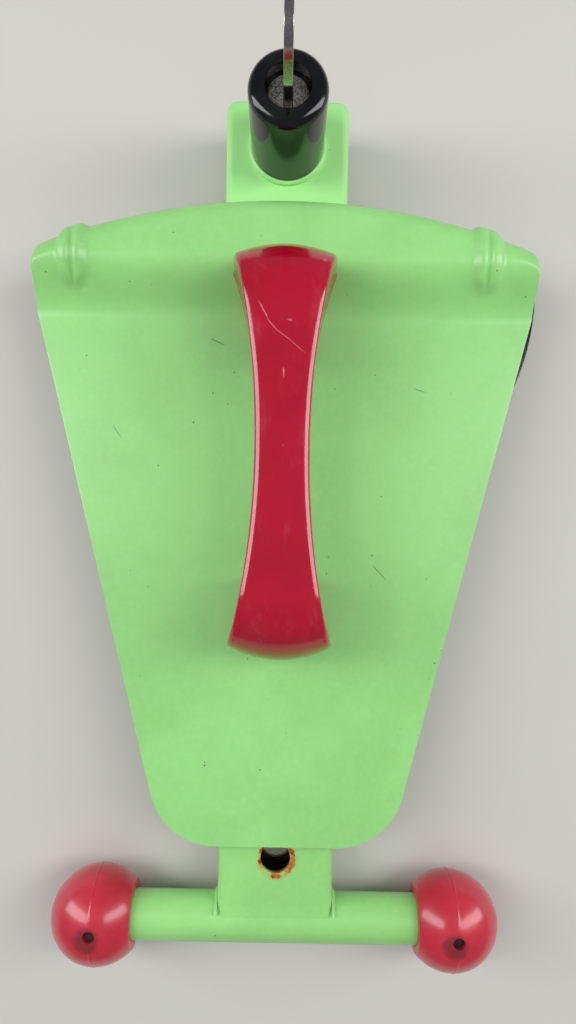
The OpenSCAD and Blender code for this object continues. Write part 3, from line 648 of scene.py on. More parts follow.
def pressed_point(u, row):
    """Where the press leaves the sheet's point in column u (-1 to 1) and row (0 to ROWS)."""
    share = column(u)
    if row <= CORNER_ROWS:
        a = corner_sweep * row / CORNER_ROWS
        return share * (corner_x + CORNER_R * sin(a)), narrow_y + CORNER_R * (1 - cos(a)), 0.0
    flat_start = narrow_y + CORNER_R * (1 - cos(corner_sweep))
    row -= CORNER_ROWS
    bend_start = STEP_Y - 4.0
    if row <= FLAT_ROWS:
        y = flat_start + (bend_start - flat_start) * row / FLAT_ROWS
        return share * outline_half(y), y, 0.0
    row -= FLAT_ROWS
    x = share * wide_half
    radius = EDGE_R - TIP_DROP * max(0.0, (abs(x) - wide_half + TIP_REACH) / TIP_REACH) ** 2
    roll_y = edge_middle_y + sqrt((radius - ROLL_R) ** 2 - x * x)
    top = step_height(roll_y)
    if row <= BEND_ROWS:
        y = bend_start + (roll_y - bend_start) * row / BEND_ROWS
        return share * outline_half(y), y, step_height(y) + bead_height(x, y)
    row -= BEND_ROWS
    bump = bead_height(x, roll_y + 8, 1 - ease(row / ROLL_ROWS))
    if row <= ROLL_ROWS:
        a = pi / 2 * row / ROLL_ROWS
        r = radius + (ROLL_R + bump) * sin(a) - ROLL_R
        return x, edge_middle_y + sqrt(r * r - x * x), top - ROLL_R + (ROLL_R + bump) * cos(a)
    row -= ROLL_ROWS
    r = radius + bump + min(0.0, 0.4 - 0.7 * bump) * row / LIP_ROWS
    z = top - ROLL_R + (-lip_depth - top + ROLL_R) * row / LIP_ROWS
    return x, edge_middle_y + sqrt(r * r - x * x), z


print("the shield's virtual narrow half width is", round(narrow_half, 1), "mm")

# %% [markdown]
# The grid primitive has one vertex for each crossing. The formula moves them, Solidify gives the sheet its
# three millimetres, and a small bevel rounds the sheared rim, which is what catches the light along the
# sides of a real pressing. A trace of waviness keeps the flat from looking like glass.

# %% The shield


def bent_grid(columns, rows, point):
    """A grid primitive whose vertices are moved to point(u from -1 to 1, row number), in millimetres."""
    clear_selection()
    bpy.ops.mesh.primitive_grid_add(x_subdivisions=columns, y_subdivisions=rows, size=2)
    obj = bpy.context.object
    for vertex in obj.data.vertices:
        row = round((vertex.co.y + 1) / 2 * rows)
        vertex.co = Vector(point(vertex.co.x, row)) * MM
    return obj


def wavy(x, y):
    """Gentle unevenness of a pressed sheet, in millimetres."""
    return 0.16 * noise.noise(Vector((x / 46, y / 46, 0.3))) - 0.16


def shield_point(u, row):
    x, y, z = pressed_point(u, row)
    calm = ease((shield_high.y - 22 - y) / 40)
    return x, y, z + flat_z + wavy(x, y) * calm


scuffs = [((-25.6, 68.0, 0), (-19.6, 65.4, 0), 0.34), ((31.0, -8.0, 0), (36.5, -14.0, 0), 0.22),
          ((-58.0, 38.0, 0), (-54.5, 33.0, 0), 0.2), ((44.0, 52.0, 0), (49.0, 50.5, 0), 0.2)]
green = powder_coat("powder_coated_steel", scuffs=scuffs)
shield = bent_grid(COLUMNS, ROWS, shield_point)
outward(shield)
if shield.data.polygons[0].normal.z < 0:
    shield.data.flip_normals()
modify(shield, "SOLIDIFY", thickness=SHEET * MM, offset=-1, use_even_offset=True)
break_edges(shield, 0.9, 3, 55)
release(shield, "shield", "shield_plate", green, angle=40)

# %% [markdown]
# The handle is an arch with a flat top and tight rounded edges. It narrows to a waist for the hand and
# flares towards its ends, where each foot runs down to the sheet. It is swept like a tube: at each station
# along the arch stands a rounded rectangle that reaches from the outer curve to the inner one.

# %% The handle's curves
handle_low, handle_high = size_mm("handle")
handle_mid_y = (handle_low.y + handle_high.y) / 2
HALF_LENGTH = (handle_high.y - handle_low.y) / 2
TOP = handle_high.z - flat_z
GRIP = 14.0
OUTER_R, INNER_R = 22.0, 10.0
NEAR_FOOT, FAR_FOOT = 26.0, 31.0
WAIST_HALF, FOOT_HALF = 8.25, 17.0
END_R = 31.0
SPLAY, CROWN = 0.035, 0.35
TOP_EDGE_R, GAP_EDGE_R = 1.7, 3.2
TOP_STATIONS, TURN_STATIONS, LEG_STATIONS = 22, 14, 8
STATIONS_HALF = TOP_STATIONS + TURN_STATIONS + LEG_STATIONS
CORNER_POINTS, FACE_POINTS, SIDE_POINTS = 6, 14, 10
RING_POINTS = 4 * CORNER_POINTS + 2 * FACE_POINTS + 2 * SIDE_POINTS


def plan_half(from_middle):
    """Half width of the handle at a distance from its middle, seen from above."""
    return WAIST_HALF + (FOOT_HALF - WAIST_HALF) * min(1.0, from_middle / HALF_LENGTH) ** 2.1


# %% [markdown]
# The section is a rounded rectangle. Its outer side, which is the top of the arch, has tight corners that
# draw thin highlights. The corners towards the fingers are rounder.

# %% The handle's section
SECTION_CORNERS = ((1, 1, TOP_EDGE_R, FACE_POINTS), (1, -1, GAP_EDGE_R, SIDE_POINTS),
                   (-1, -1, GAP_EDGE_R, FACE_POINTS), (-1, 1, TOP_EDGE_R, SIDE_POINTS))


def rounded_rectangle(a, b):
    """Points round a rectangle of half sizes a and b. Its outer side is b and gets the tighter corners."""
    points = []
    for corner, (sx, sy, r, count) in enumerate(SECTION_CORNERS):
        before = (-sx, sy) if corner % 2 == 0 else (sx, -sy)
        r_before = TOP_EDGE_R if before[1] > 0 else GAP_EDGE_R
        start = (before[0] * (a - r_before), before[1] * b) if corner % 2 == 0 else \
            (before[0] * a, before[1] * (b - r_before))
        middle = (sx * (a - r), sy * (b - r))
        end = (sx * (a - r), sy * b) if corner % 2 == 0 else (sx * a, sy * (b - r))
        for i in range(count):
            t = i / count
            points.append((start[0] + (end[0] - start[0]) * t, start[1] + (end[1] - start[1]) * t))
        first = pi / 2 - corner * pi / 2
        for i in range(CORNER_POINTS):
            angle = first - pi / 2 * i / CORNER_POINTS
            points.append((middle[0] + r * cos(angle), middle[1] + r * sin(angle)))
    return points


# %% [markdown]
# Stations run from one sole to the other: up a leg, round the outer and inner curve of the bend, along the
# top and down again. Each leg splays a little at its sole and ends on the sheet, wherever the step has
# lifted it.

# %% The handle's stations


def half_station(k, foot):
    """Outer and inner point of station k as (distance from the middle, height), and its share of the leg."""
    straight, gap_half = HALF_LENGTH - OUTER_R, HALF_LENGTH - foot
    if k <= TOP_STATIONS:
        t = k / TOP_STATIONS
        return (straight * t, TOP), ((gap_half - INNER_R) * t, TOP - GRIP), 0.0
    turn = pi / 2 * min(1.0, (k - TOP_STATIONS) / TURN_STATIONS)
    down = max(0.0, (k - TOP_STATIONS - TURN_STATIONS) / LEG_STATIONS)
    outer = (straight + OUTER_R * sin(turn), TOP - OUTER_R * (1 - cos(turn)))
    inner = (gap_half - INNER_R * (1 - sin(turn)), TOP - GRIP - INNER_R * (1 - cos(turn)))
    return outer, inner, down


def handle_ring(row):
    """The handle's points at one station, in millimetres."""
    k = row - STATIONS_HALF
    outer, inner, down = half_station(abs(k), FAR_FOOT if k > 0 else NEAR_FOOT)
    direction = 1 if k >= 0 else -1
    reach = hypot(outer[0] - inner[0], outer[1] - inner[1]) / 2
    half = plan_half(outer[0])
    leg = ease((abs(k) - TOP_STATIONS) / TURN_STATIONS)
    ring = []
    for x, out in rounded_rectangle(half, reach):
        share = (out + reach) / (2 * reach)
        away = inner[0] + (outer[0] - inner[0]) * share
        height = inner[1] + (outer[1] - inner[1]) * share
        x *= plan_half(away) / half * (1 + SPLAY * down ** 3)
        away -= share * leg * x * x / (2 * END_R)
        height -= CROWN * share * (1 - leg) * (x / half) ** 2
        y = handle_mid_y + direction * away
        base = step_height(y)
        ring.append((x, y, flat_z + base + (height - base) * (1 - down)))
    return ring


handle_rings = [handle_ring(row) for row in range(2 * STATIONS_HALF + 1)]
print("the handle is", round(2 * HALF_LENGTH, 1), "mm long and", round(TOP, 1), "mm high")

# %% [markdown]
# The swept grid is closed along its seam and across both soles. Its last edges need no bevel, since the
# rounded rectangles carry them. The long curved scratch is drawn as a chain of short straight ones.

# %% The handle
handle_scratches = [((-7.8, 69.8, 0), (-4.3, 63.4, 0), 0.24), ((-5.3, 64.6, 0), (-1.6, 60.3, 0), 0.24),
                    ((-2.9, 61.6, 0), (3.1, 57.2, 0), 0.22), ((1.6, 58.3, 0), (7.0, 53.8, 0), 0.18),
                    ((0.8, 64.1, 0), (2.6, 63.9, 0), 0.4), ((11.2, 83.4, 0), (12.6, 83.0, 0), 0.7),
                    ((0.0, 50.4, 0), (0.2, 46.6, 0), 0.22)]
red_gloss = gloss_plastic("glossy_moulded_plastic", "AE0729", "A00522", marks=handle_scratches)
handle = bent_grid(RING_POINTS, 2 * STATIONS_HALF,
                   lambda u, row: handle_rings[row][round((u + 1) / 2 * RING_POINTS) % RING_POINTS])
outward(handle)
edit(handle, "EDGE")
bpy.ops.mesh.select_non_manifold()
bpy.ops.mesh.fill()
leave_edit()
outward(handle)
release(handle, "handle_grip", "handle", red_gloss, angle=40)

# %% [markdown]
# Blocks, discs and rods are the stock that the other pieces are cut from. Each helper takes millimetres
# and gives a primitive with its size already in its mesh.

# %% Stock to cut from


def block(low, high):
    """A cube primitive stretched between two corners given in millimetres."""
    clear_selection()
    bpy.ops.mesh.primitive_cube_add(size=1, location=(low + high) / 2 * MM)
    obj = bpy.context.object
    obj.scale = (high - low) * MM
    settle(obj)
    return obj


ROUND_SIDES = 96


def rod(middle, radius, length, sides=ROUND_SIDES, turn=(0, radians(90), 0)):
    """A cylinder primitive in millimetres. It lies along X unless turn says otherwise."""
    clear_selection()
    bpy.ops.mesh.primitive_cylinder_add(vertices=sides, radius=radius * MM, depth=length * MM,
                                        location=Vector(middle) * MM, rotation=turn)
    obj = bpy.context.object
    settle(obj)
    return obj


def disc(middle, radius, low_z, high_z, sides=ROUND_SIDES):
    """An upright cylinder between two heights, in millimetres."""
    return rod((*middle, (low_z + high_z) / 2), radius, high_z - low_z, sides, turn=(0, 0, 0))


def round_edges(obj, test, radius_mm, segments):
    """Bevels the edges whose two ends pass the test."""
    bm = edit(obj, "EDGE")
    pick(obj, bm.edges, lambda e: test(e.verts[0].co / MM, e.verts[1].co / MM))
    bpy.ops.mesh.bevel(offset=radius_mm * MM, segments=segments, affect="EDGES", clamp_overlap=True)
    leave_edit()


# %% [markdown]
# The lock housing is a block with rounded corners under the same green coat, which is painted lighter here to
# stand in for the light it catches. A cube is stretched to the packed block's size. Its upright corners are
# bevelled first, then the top edges, in the order a pattern maker would round them, so the two roundings meet
# cleanly. Its inner end is then cut to the shield's arc, and bores are made for the cylinder and for the
# guide of the locking bolt.

# %% The lock housing
housing_low, housing_high = size_mm("lock_housing")
far_y, near_y = housing_high.y - 0.1, housing_low.y + 1
top_z, bottom_z = housing_high.z - 0.1, housing_low.z + 0.1
housing = block(housing_low, housing_high)
round_edges(housing, lambda a, b: min(a.y, b.y) > far_y and abs(a.z - b.z) > 1, 4.0, 8)
round_edges(housing, lambda a, b: min(a.z, b.z) > top_z and max(a.y, b.y) > near_y, 2.6, 5)
round_edges(housing, lambda a, b: max(a.z, b.z) < bottom_z and max(a.y, b.y) > near_y, 1.0, 3)
body_low, body_high = size_mm("cylinder_body")
guide_low, guide_high = size_mm("bolt_guide")
cut(housing, disc((0, edge_middle_y), EDGE_R, housing_low.z - 5, housing_high.z + 5, sides=720))
cut(housing, disc((0, key_y), (guide_high.x - guide_low.x) / 2, housing_low.z - 1, body_low.z + 0.1))
cut(housing, disc((0, key_y), (body_high.x - body_low.x) / 2, body_low.z, housing_high.z + 1))
# Painted light: the housing takes a lighter copy of the shield's green coat, standing in for the light it
# catches.
green_painted_lighter = powder_coat("powder_coated_steel_painted_lighter", colour="A6EC92", shade="9EE386")
release(housing, "housing", "lock_housing", green_painted_lighter, weighted=True)

# %% [markdown]
# A weld seam is a bead of metal laid drop by drop, so its surface is a row of overlapping ripples. The
# grid is bent along the arc of the shield's edge, and a sine lays the ripples across it.

# %% The weld between housing and shield
weld_low, weld_high = size_mm("housing_weld")
WELD_ROWS, WELD_COLUMNS = 10, 110
WELD_LEG, RIPPLE, RIPPLE_H = 2.35, 1.5, 0.22


def weld_point(u, row):
    x = u * (weld_high.x - 0.05)
    t = row / WELD_ROWS
    ripple = RIPPLE_H * (1 + sin(2 * pi * (x + 0.6 * t) / RIPPLE)) / 2 * sin(pi * t)
    a = pi / 2 * t
    hollow = 1 - 0.35 * sin(2 * a)
    rise = WELD_LEG * (1 - cos(a)) * hollow + ripple
    r = EDGE_R - 0.15 + WELD_LEG * (1 - sin(a)) * hollow + ripple
    return x, edge_middle_y + sqrt(r * r - x * x), weld_low.z - 0.1 + rise


weld_paint = powder_coat("powder_coat_over_weld", colour="8FD27A", shade="7FBF6A", specks=False)
weld = bent_grid(WELD_COLUMNS, WELD_ROWS, weld_point)
outward(weld)
if sum(p.normal.z for p in weld.data.polygons) < 0:
    weld.data.flip_normals()
modify(weld, "SOLIDIFY", thickness=0.5 * MM, offset=-1)
release(weld, "seam_weld", "housing_weld", weld_paint, angle=60)

# %% [markdown]
# Turned pieces need two more steps: rounding one ring of edges, and sinking a flat top face, which is an
# inset followed by an extrusion downwards.

# %% Helpers for turned pieces


def ring_edges(obj, z, radius, offset_mm, segments):
    """Bevels the loop of edges at height z and the given distance from the key axis."""
    def on_ring(p):
        return abs(p.z - z) < 0.02 and abs(hypot(p.x, p.y - key_y) - radius) < 0.06
    round_edges(obj, lambda a, b: on_ring(a) and on_ring(b), offset_mm, segments)


def sink_face(obj, test, inset_mm, push_mm):
    """Insets the faces that pass the test and pushes them along a vector, both in millimetres."""
    bm = edit(obj, "FACE")
    pick(obj, bm.faces, test)
    bpy.ops.mesh.inset(thickness=inset_mm * MM)
    bpy.ops.mesh.extrude_region_move(TRANSFORM_OT_translate={"value": Vector(push_mm) * MM})
    leave_edit()


def sink_top(obj, z, inset_mm, depth_mm):
    """Insets the flat face at height z and pushes it down."""
    sink_face(obj, lambda f: abs(f.calc_center_median().z / MM - z) < 0.02 and abs(f.normal.z) > 0.99,
              inset_mm, (0, 0, -depth_mm))


# %% [markdown]
# The barrel is a black nylon sleeve over the metal cylinder. A cylinder primitive is given its round
# shoulder with a bevel on the top loop. The recess is sunk into its top, and a finer bevel breaks the
# recess's lip. Its gloss has gone inside the recess, where the key scrapes, and dust sits on the rest.

# %% The barrel cover
SHOULDER, RECESS_R, RECESS_DEPTH = 3.0, 6.56, 5.5
barrel_r = (barrel_high.x - barrel_low.x) / 2
barrel = disc((0, key_y), barrel_r, barrel_low.z, barrel_high.z)
ring_edges(barrel, barrel_high.z, barrel_r, SHOULDER, 10)
sink_top(barrel, barrel_high.z, barrel_r - SHOULDER - RECESS_R, RECESS_DEPTH)
ring_edges(barrel, barrel_high.z, RECESS_R, 0.7, 4)

# %% [markdown]
# Moulded nylon is nearly black, with a slow mottling. Every map below is small in effect, yet together they
# keep the barrel from looking like lacquer.

# %% The barrel's nylon
paint = Paint("glossy_black_nylon", roughness=0.12, coat=0.1, coat_roughness=0.04)
base = paint.mix(paint.ramp(paint.noise(9, 3, 0.6), 0.4, 0.7), "08080A", "131416")
dust = paint.math("MULTIPLY", paint.spots(1.8, 0.12), paint.ramp(paint.noise(6, 3, 0.6), 0.52, 0.66))
base = paint.over(base, dust, 0.5, "6C6A66")
paint.bump(paint.noise(1.9, 2, 0.5), 0.02)
recess = paint.near((0, key_y, 0), RECESS_R + 0.1, 0.3)
rough = paint.scaled(recess, 0.6, paint.scaled(paint.noise(4, 3, 0.6), 0.16, 0.06))
release(barrel, "barrel", "barrel_cover", paint.done(base, rough))

# %% [markdown]
# A low raised collar stands round the barrel's foot. It is a disc with its top sunk to the housing's level,
# so only the rim shows, and that rim is rounded.

# %% The collar round the barrel's foot
collar_low, collar_high = size_mm("barrel_collar")
collar_r = (collar_high.x - collar_low.x) / 2
collar = disc((0, key_y), collar_r, collar_low.z, collar_high.z)
sink_top(collar, collar_high.z, collar_r - barrel_r, collar_high.z - collar_low.z - 0.2)
ring_edges(collar, collar_high.z, collar_r, 0.9, 4)
# The collar takes the same lighter copy of the coat as the housing, which is painted light.
release(collar, "collar", "barrel_collar", green_painted_lighter)

# %% [markdown]
# The plug is die-cast zinc, pitted by weather. The keyway is cut right down its middle, wider than the key,
# and its face gets a shallow dish turned by wear, so its edge stays a little proud.

# %% The plug
plug_low, plug_high = size_mm("lock_plug")
plug_r = (plug_high.x - plug_low.x) / 2 - 0.05
key_low, key_high = size_mm("key")
key_half_t = (key_high.x - key_low.x) / 2
BLADE_HALF = 4.0
plug = disc((0, key_y), plug_r, plug_low.z, plug_high.z)
sink_top(plug, plug_high.z, 0.8, 0.25)
ring_edges(plug, plug_high.z, plug_r, 0.3, 2)
slot_half = Vector((key_half_t + 0.25, BLADE_HALF + 0.3, 0))
keyway = block(Vector((0, key_y, key_low.z - 2)) - slot_half, Vector((0, key_y, plug_high.z + 2)) + slot_half)
cut(plug, keyway)
release(plug, "plug", "lock_plug", pitted_zinc("weathered_zinc_casting"), angle=30)

# %% [markdown]
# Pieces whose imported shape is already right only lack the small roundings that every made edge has. They
# are copied, their loose triangles merged back into whole faces, and a bevel breaks each sharp edge.

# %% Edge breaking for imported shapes


def release_packed(name, node, material, radius_mm, segments=2, angle=30, carve=None):
    """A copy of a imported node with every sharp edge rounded, released as a piece."""
    obj = loose_copy(frame["nodes"][node])
    edit(obj, "VERT")
    bpy.ops.mesh.select_all(action="SELECT")
    bpy.ops.mesh.remove_doubles(threshold=0.002 * MM)
    bpy.ops.mesh.dissolve_limited(angle_limit=radians(0.6))
    leave_edit()
    if carve:
        carve(obj)
    break_edges(obj, radius_mm, segments, angle)
    release(obj, name, node, material, weighted=True)


# %% [markdown]
# The key is nickel-plated steel. Its blade carries a milled groove down each flat side, and its edge the
# stepped cuts that lift the pins.

# %% The key
GROOVE_DEPTH, CUT_PITCH = 0.45, 3.5
CUT_DEPTHS = (0.9, 0.5, 1.2, 0.7, 1.0)


def key_cuts(obj):
    """Mills a groove into both sides of the blade, and bites into its edge."""
    for side in (-1, 1):
        groove_x = side * key_half_t
        cut(obj, block(Vector((groove_x - GROOVE_DEPTH, key_y - 1.9, key_low.z - 2)),
                       Vector((groove_x + GROOVE_DEPTH, key_y - 0.6, barrel_high.z + 10))))
    edge_y = key_y + BLADE_HALF
    for k, depth in enumerate(CUT_DEPTHS):
        z = key_low.z + CUT_PITCH * (k + 1)
        cut(obj, block(Vector((-2, edge_y - depth, z - 0.9)), Vector((2, edge_y + 1, z + 0.9))))


nickel = plated_steel("nickel_plated_steel", "C9C7C2", "9D9A94", roughness=0.2, streak=(1, 14, 1))
release_packed("key_blade_and_bow", "key", nickel, 0.35, 3, carve=key_cuts)

# %% [markdown]
# The cross tube is drawn steel tube under the same green coat. Its open ends hide in the balls, so each is
# an inset of the end face pushed inwards.

# %% The cross tube
tube_r = (tube_high.z - tube_low.z) / 2
tube = rod((0, tube_y, tube_z), tube_r, tube_high.x - tube_low.x)
TUBE_WALL, OPEN_DEPTH = 2.0, 12
for direction in (-1, 1):
    sink_face(tube, lambda f: f.normal.x * direction > 0.99, TUBE_WALL, (-direction * OPEN_DEPTH, 0, 0))
green_tube = powder_coat("powder_coated_tube", colour="98DA80", shade="8CCB74")
release(tube, "cross_tube_skin", "cross_tube", green_tube)

# %% [markdown]
# The sliding bar is rectangular tube. It is made as a fitter makes it: a solid with its long edges
# rounded, the inside taken out, one end coped to sit on the cross tube, then the holes drilled.

# %% The sliding bar
bar_low, bar_high = size_mm("slide_bar")
BAR_WALL = 1.8
BAR_EDGE = 1.9
HANG_Y = -110.6
HANG_R = 5.2
INDEX_R, INDEX_STEP, INDEX_HOLES = 3.25, 15, 8
bar = block(Vector((bar_low.x, tube_y, bar_low.z)), bar_high)
round_edges(bar, lambda a, b: abs(a.y - b.y) > 10, BAR_EDGE, 4)
hollow_low = Vector((bar_low.x + BAR_WALL, tube_y - 5, bar_low.z + BAR_WALL))
hollow_high = Vector((bar_high.x - BAR_WALL, bar_high.y + 5, bar_high.z - BAR_WALL))
cut(bar, block(hollow_low, hollow_high))
cut(bar, rod((0, tube_y, tube_z), tube_r - 0.05, 100))
cut(bar, block(Vector((-40, tube_y - 20, 0)), Vector((40, tube_y, 60))))
cut(bar, disc((0, HANG_Y), HANG_R, bar_low.z - 5, bar_high.z + 5, sides=48))
plunger_low, plunger_high = size_mm("plunger_boss")
plunger_y = (plunger_low.y + plunger_high.y) / 2
for k in range(INDEX_HOLES):
    cut(bar, rod((bar_high.x, plunger_y + INDEX_STEP * k, tube_z), INDEX_R, 8, sides=36))
break_edges(bar, 0.35, 2, 45)
# The dark olive inside of the bar is painted shade, standing in for the shade within the hollow.
green_bar = powder_coat("powder_coated_bar", colour="95D87C", shade="8ACA72",
                        rust_at=((0.4, HANG_Y - 0.4, 0), HANG_R + 0.6), painted_shade_inside=(hollow_low, hollow_high))
release(bar, "bar", "slide_bar", green_bar, weighted=True)

# %% [markdown]
# The bar is welded to the tube. Ground flush, the weld leaves a small hollow fillet across the bar's top
# face, and a toe at each side. The fillet is a grid bent along a curve that leaves the bar's face and
# arrives on the tube, and its two rims sink just under the surfaces that they join.

# %% Weld toes and the fillet between the bar and the tube
FILLET, FILLET_ROWS = 4.4, 12
top_height = bar_high.z - tube_z
meet_angle = atan2(sqrt(tube_r * tube_r - top_height * top_height), top_height)


def fillet_point(u, row):
    t = row / FILLET_ROWS
    meet = tube_r * sin(meet_angle)
    high = meet_angle - FILLET / tube_r
    bar_end, tube_end = (meet + FILLET, top_height), (tube_r * sin(high), tube_r * cos(high))
    away = (1 - t) ** 2 * bar_end[0] + 2 * t * (1 - t) * meet + t * t * tube_end[0]
    height = (1 - t) ** 2 * bar_end[1] + 2 * t * (1 - t) * top_height + t * t * tube_end[1]
    return u * (bar_high.x - 1.0), tube_y + away, tube_z + height + 0.07 * sin(pi * t) - 0.05


fillet = bent_grid(12, FILLET_ROWS, fillet_point)
if fillet.data.polygons[0].normal.z < 0:
    fillet.data.flip_normals()
modify(fillet, "SOLIDIFY", thickness=0.4 * MM, offset=-1)


def add_fillet(toes):
    """Joins the fillet's strip to the weld toes."""
    clear_selection()
    fillet.select_set(True)
    toes.select_set(True)
    bpy.context.view_layer.objects.active = toes
    bpy.ops.object.join()


release_packed("bar_weld_toes", "bar_welds", green_bar, 0.1, 1, angle=60, carve=add_fillet)

# %% [markdown]
# Each ball is moulded in two halves, and the line where the halves of the mould met runs round it as a
# fine ridge. The sphere primitive is turned so that its poles lie along the tube. Its equator is then that
# line. The inner side is cut flat, and a socket is sunk into it for the tube.

# %% The right ball
ball_low, ball_high = size_mm("ball_right")
BALL_R = (ball_high.y - ball_low.y) / 2
ball_x = ball_high.x - BALL_R
ball_middle = Vector((ball_x, tube_y, tube_z)) * MM
PIN_R, PIN_DEPTH, SOCKET_DEPTH = 2.05, 3.2, 10
RIDGE = 0.16
clear_selection()
bpy.ops.mesh.primitive_uv_sphere_add(segments=112, ring_count=72, radius=(BALL_R - RIDGE) * MM,
                                     rotation=(0, radians(90), 0), location=ball_middle)
ball = bpy.context.object
settle(ball)
bm = edit(ball, "EDGE")
pick(ball, bm.edges, lambda e: all(abs(v.co.x / MM - ball_x) < 0.01 for v in e.verts))
bpy.ops.mesh.bevel(offset=0.3 * MM, segments=2, affect="EDGES")
bpy.ops.mesh.select_all(action="DESELECT")
bpy.ops.mesh.select_mode(type="VERT")
bm = bmesh.from_edit_mesh(ball.data)
pick(ball, bm.verts, lambda v: abs(v.co.x / MM - ball_x) < 0.01)
ridge_scale = BALL_R / (BALL_R - RIDGE)
bpy.ops.transform.resize(value=(1, ridge_scale, ridge_scale), center_override=ball_middle)
bpy.ops.mesh.select_all(action="SELECT")
bpy.ops.mesh.bisect(plane_co=(ball_low.x * MM, 0, 0), plane_no=(1, 0, 0), clear_inner=True, use_fill=True)
leave_edit()
flat_r = sqrt((BALL_R - RIDGE) ** 2 - (ball_x - ball_low.x) ** 2)
sink_face(ball, lambda f: f.normal.x < -0.99 and f.calc_area() > (8 * MM) ** 2,
          flat_r - tube_r - 0.1, (SOCKET_DEPTH, 0, 0))
cut(ball, disc((ball_x, tube_y), PIN_R, tube_z + BALL_R - PIN_DEPTH, tube_z + BALL_R + 3, sides=40))
break_edges(ball, 0.35, 2, 40)
ball_grime = [((s * ball_x - 1.2, tube_y - 1.4, 0), 2.0) for s in (-1, 1)]
red_satin = satin_plastic("satin_moulded_plastic", "C62C3E", "B82638", grime_at=ball_grime)
release(ball, "ball_on_right", "ball_right", red_satin, angle=30)

# %% [markdown]
# The left ball comes from the same mould, so it is a mirrored copy. Mirroring turns the faces inside out,
# and outward() turns them back.

# %% The left ball is the right one mirrored
twin = loose_copy(ball)
twin.scale = (-1, 1, 1)
settle(twin)
outward(twin)
release(twin, "ball_on_left", "ball_left", red_satin, angle=30)

# %% [markdown]
# Underneath are the working parts: the sleeve, the hinge, the jaw and the plunger. They take broken edges
# and the finish of what each is made from.

# %% Underside pieces
zinc_plate = plated_steel("zinc_plated_steel", "B4B6B2", "8B8E8C", roughness=0.32)
turned = plated_steel("turned_plated_steel", "C2C4C6", "96999C", roughness=0.24, streak=(14, 1, 1))
black_oxide = plated_steel("black_oxide_steel", "3A3A3C", "232325", roughness=0.42)
rusty = rubber("grimy_rusted_steel", "3C1A18", "221010", roughness=0.7)
brass = plated_steel("machined_brass", "C9A04E", "A07C34", roughness=0.26)
soft_black = rubber("moulded_rubber", "050506", "0C0C0E", roughness=0.14)
ribbed_black = rubber("ribbed_rubber", roughness=0.6, rib_mm=2.4)
nylon = rubber("black_nylon", "141416", "202022", roughness=0.38)
green_under = powder_coat("powder_coated_steel_underside", colour="8CCF77", shade="80C06C")

for piece_name, packed, slot_name, finish, radius, cuts in (
        ("sleeve", "guide_sleeve", "green_powder_coat", green_under, 0.5, 2),
        ("sleeve_weld_seams", "sleeve_welds", "green_weld", weld_paint, 0.3, 2),
        ("ears", "hinge_ears", "green_powder_coat", green_under, 0.6, 3),
        ("arm", "jaw_arm", "green_powder_coat", green_under, 0.6, 3),
        ("jaw", "jaw_plate", "green_powder_coat", green_under, 0.6, 3),
        ("boot_on_right", "boot_right", "black_rubber", soft_black, 1.1, 4),
        ("boot_on_left", "boot_left", "black_rubber", soft_black, 1.1, 4),
        ("pivot_pin", "hinge_pin", "plated_steel", turned, 0.5, 2),
        ("pivot_clip", "hinge_clip", "dark_steel", black_oxide, 0.2, 2),
        ("jaw_rubber", "jaw_pad", "black_rubber", ribbed_black, 0.35, 2),
        ("channel_rubber", "rim_pad", "black_rubber", ribbed_black, 0.35, 2),
        ("plunger_housing", "plunger_boss", "plated_steel", turned, 0.5, 2),
        ("plunger_nut", "plunger_cap", "plated_steel", zinc_plate, 0.3, 2),
        ("plunger_rod", "plunger_pin", "plated_steel", turned, 0.2, 2),
        ("bar_plug", "bar_end_plug", "black_knob", nylon, 0.4, 2),
        ("travel_stop", "stop_screw", "plated_steel", zinc_plate, 0.25, 2),
        ("cross_pins", "ball_pins", "dark_steel", rusty, 0.3, 2),
        ("countersunk_screws", "handle_screws", "dark_steel", black_oxide, 0.15, 1)):
    release_packed(piece_name, packed, finish, radius, cuts)

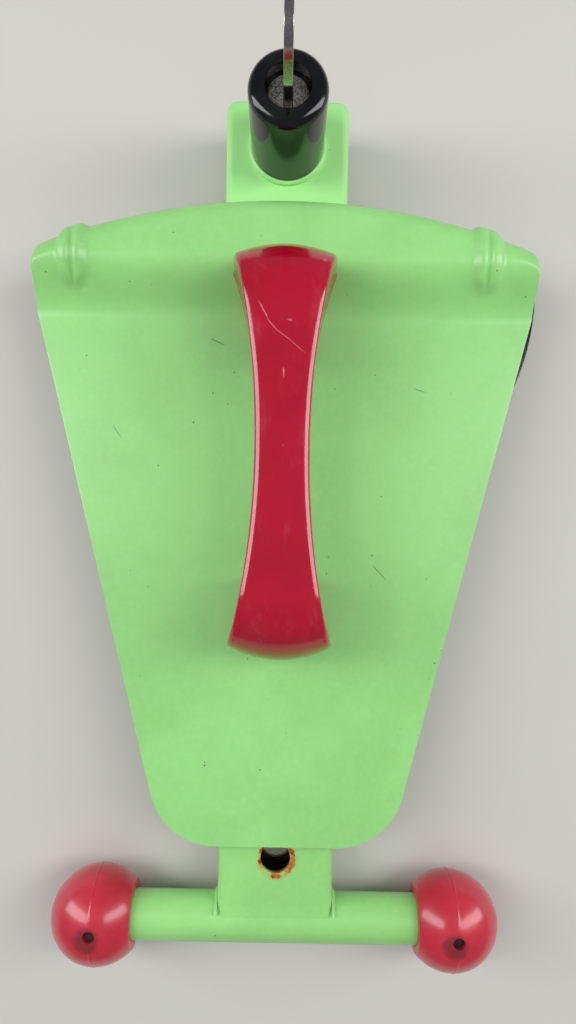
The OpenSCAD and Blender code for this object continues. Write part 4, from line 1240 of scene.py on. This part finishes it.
# %% [markdown]
# The pull knob has a knurled rim so that wet fingers can grip it. Every other strip of its side is inset
# and pushed in a little, which leaves a ring of teeth.

# %% The plunger's knob
knob_low, knob_high = size_mm("plunger_knob")
knob_r = (knob_high.z - knob_low.z) / 2
knob_middle = (knob_low + knob_high) / 2
TEETH = 30
knob = rod(knob_middle, knob_r, knob_high.x - knob_low.x, sides=2 * TEETH)
bm = edit(knob, "FACE")
slots = [f for f in bm.faces if abs(f.normal.x) < 0.1]
slots.sort(key=lambda f: atan2(f.normal.z, f.normal.y))
for face in slots[::2]:
    face.select_set(True)
bmesh.update_edit_mesh(knob.data)
bpy.ops.mesh.inset(thickness=0.16 * MM, use_individual=True)
bpy.ops.transform.resize(value=(1, 0.95, 0.95), center_override=knob_middle * MM)
leave_edit()
bm = edit(knob, "FACE")
pick(knob, bm.faces, lambda f: f.normal.x > 0.99)
bpy.ops.mesh.inset(thickness=1.2 * MM)
bpy.ops.mesh.inset(thickness=0.8 * MM)
bpy.ops.mesh.extrude_region_move(TRANSFORM_OT_translate={"value": (-0.5 * MM, 0, 0)})
leave_edit()
sink_face(knob, lambda f: f.normal.x < -0.99, 1.0, (4.2, 0, 0))
break_edges(knob, 0.25, 2, 40)
release(knob, "pull_knob", "plunger_knob", nylon)

# %% [markdown]
# What is left is sealed inside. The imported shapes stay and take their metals, so that a cutaway or an
# opened lock still looks right.

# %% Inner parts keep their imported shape
for node_names, finish in (
        (("cylinder_body",), black_oxide),
        (("driver_pins", "key_pins", "bolt_guide", "handle_inserts"), brass),
        (("pin_springs", "plunger_spring"), turned),
        (("tailpiece", "lock_bolt"), zinc_plate)):
    for node_name in node_names:
        cad = frame["nodes"][node_name]
        cad.data.materials.clear()
        cad.data.materials.append(finish)
    print(finish.name, "on", ", ".join(node_names))

# %% [markdown]
# The floor is a plain pale grey, rough enough to hold only a soft shadow.

# %% The floor's finish
floor_paint = Paint("pale_floor", roughness=0.75)
floor.data.materials.append(floor_paint.done("C9C6C0"))
print("floor painted")
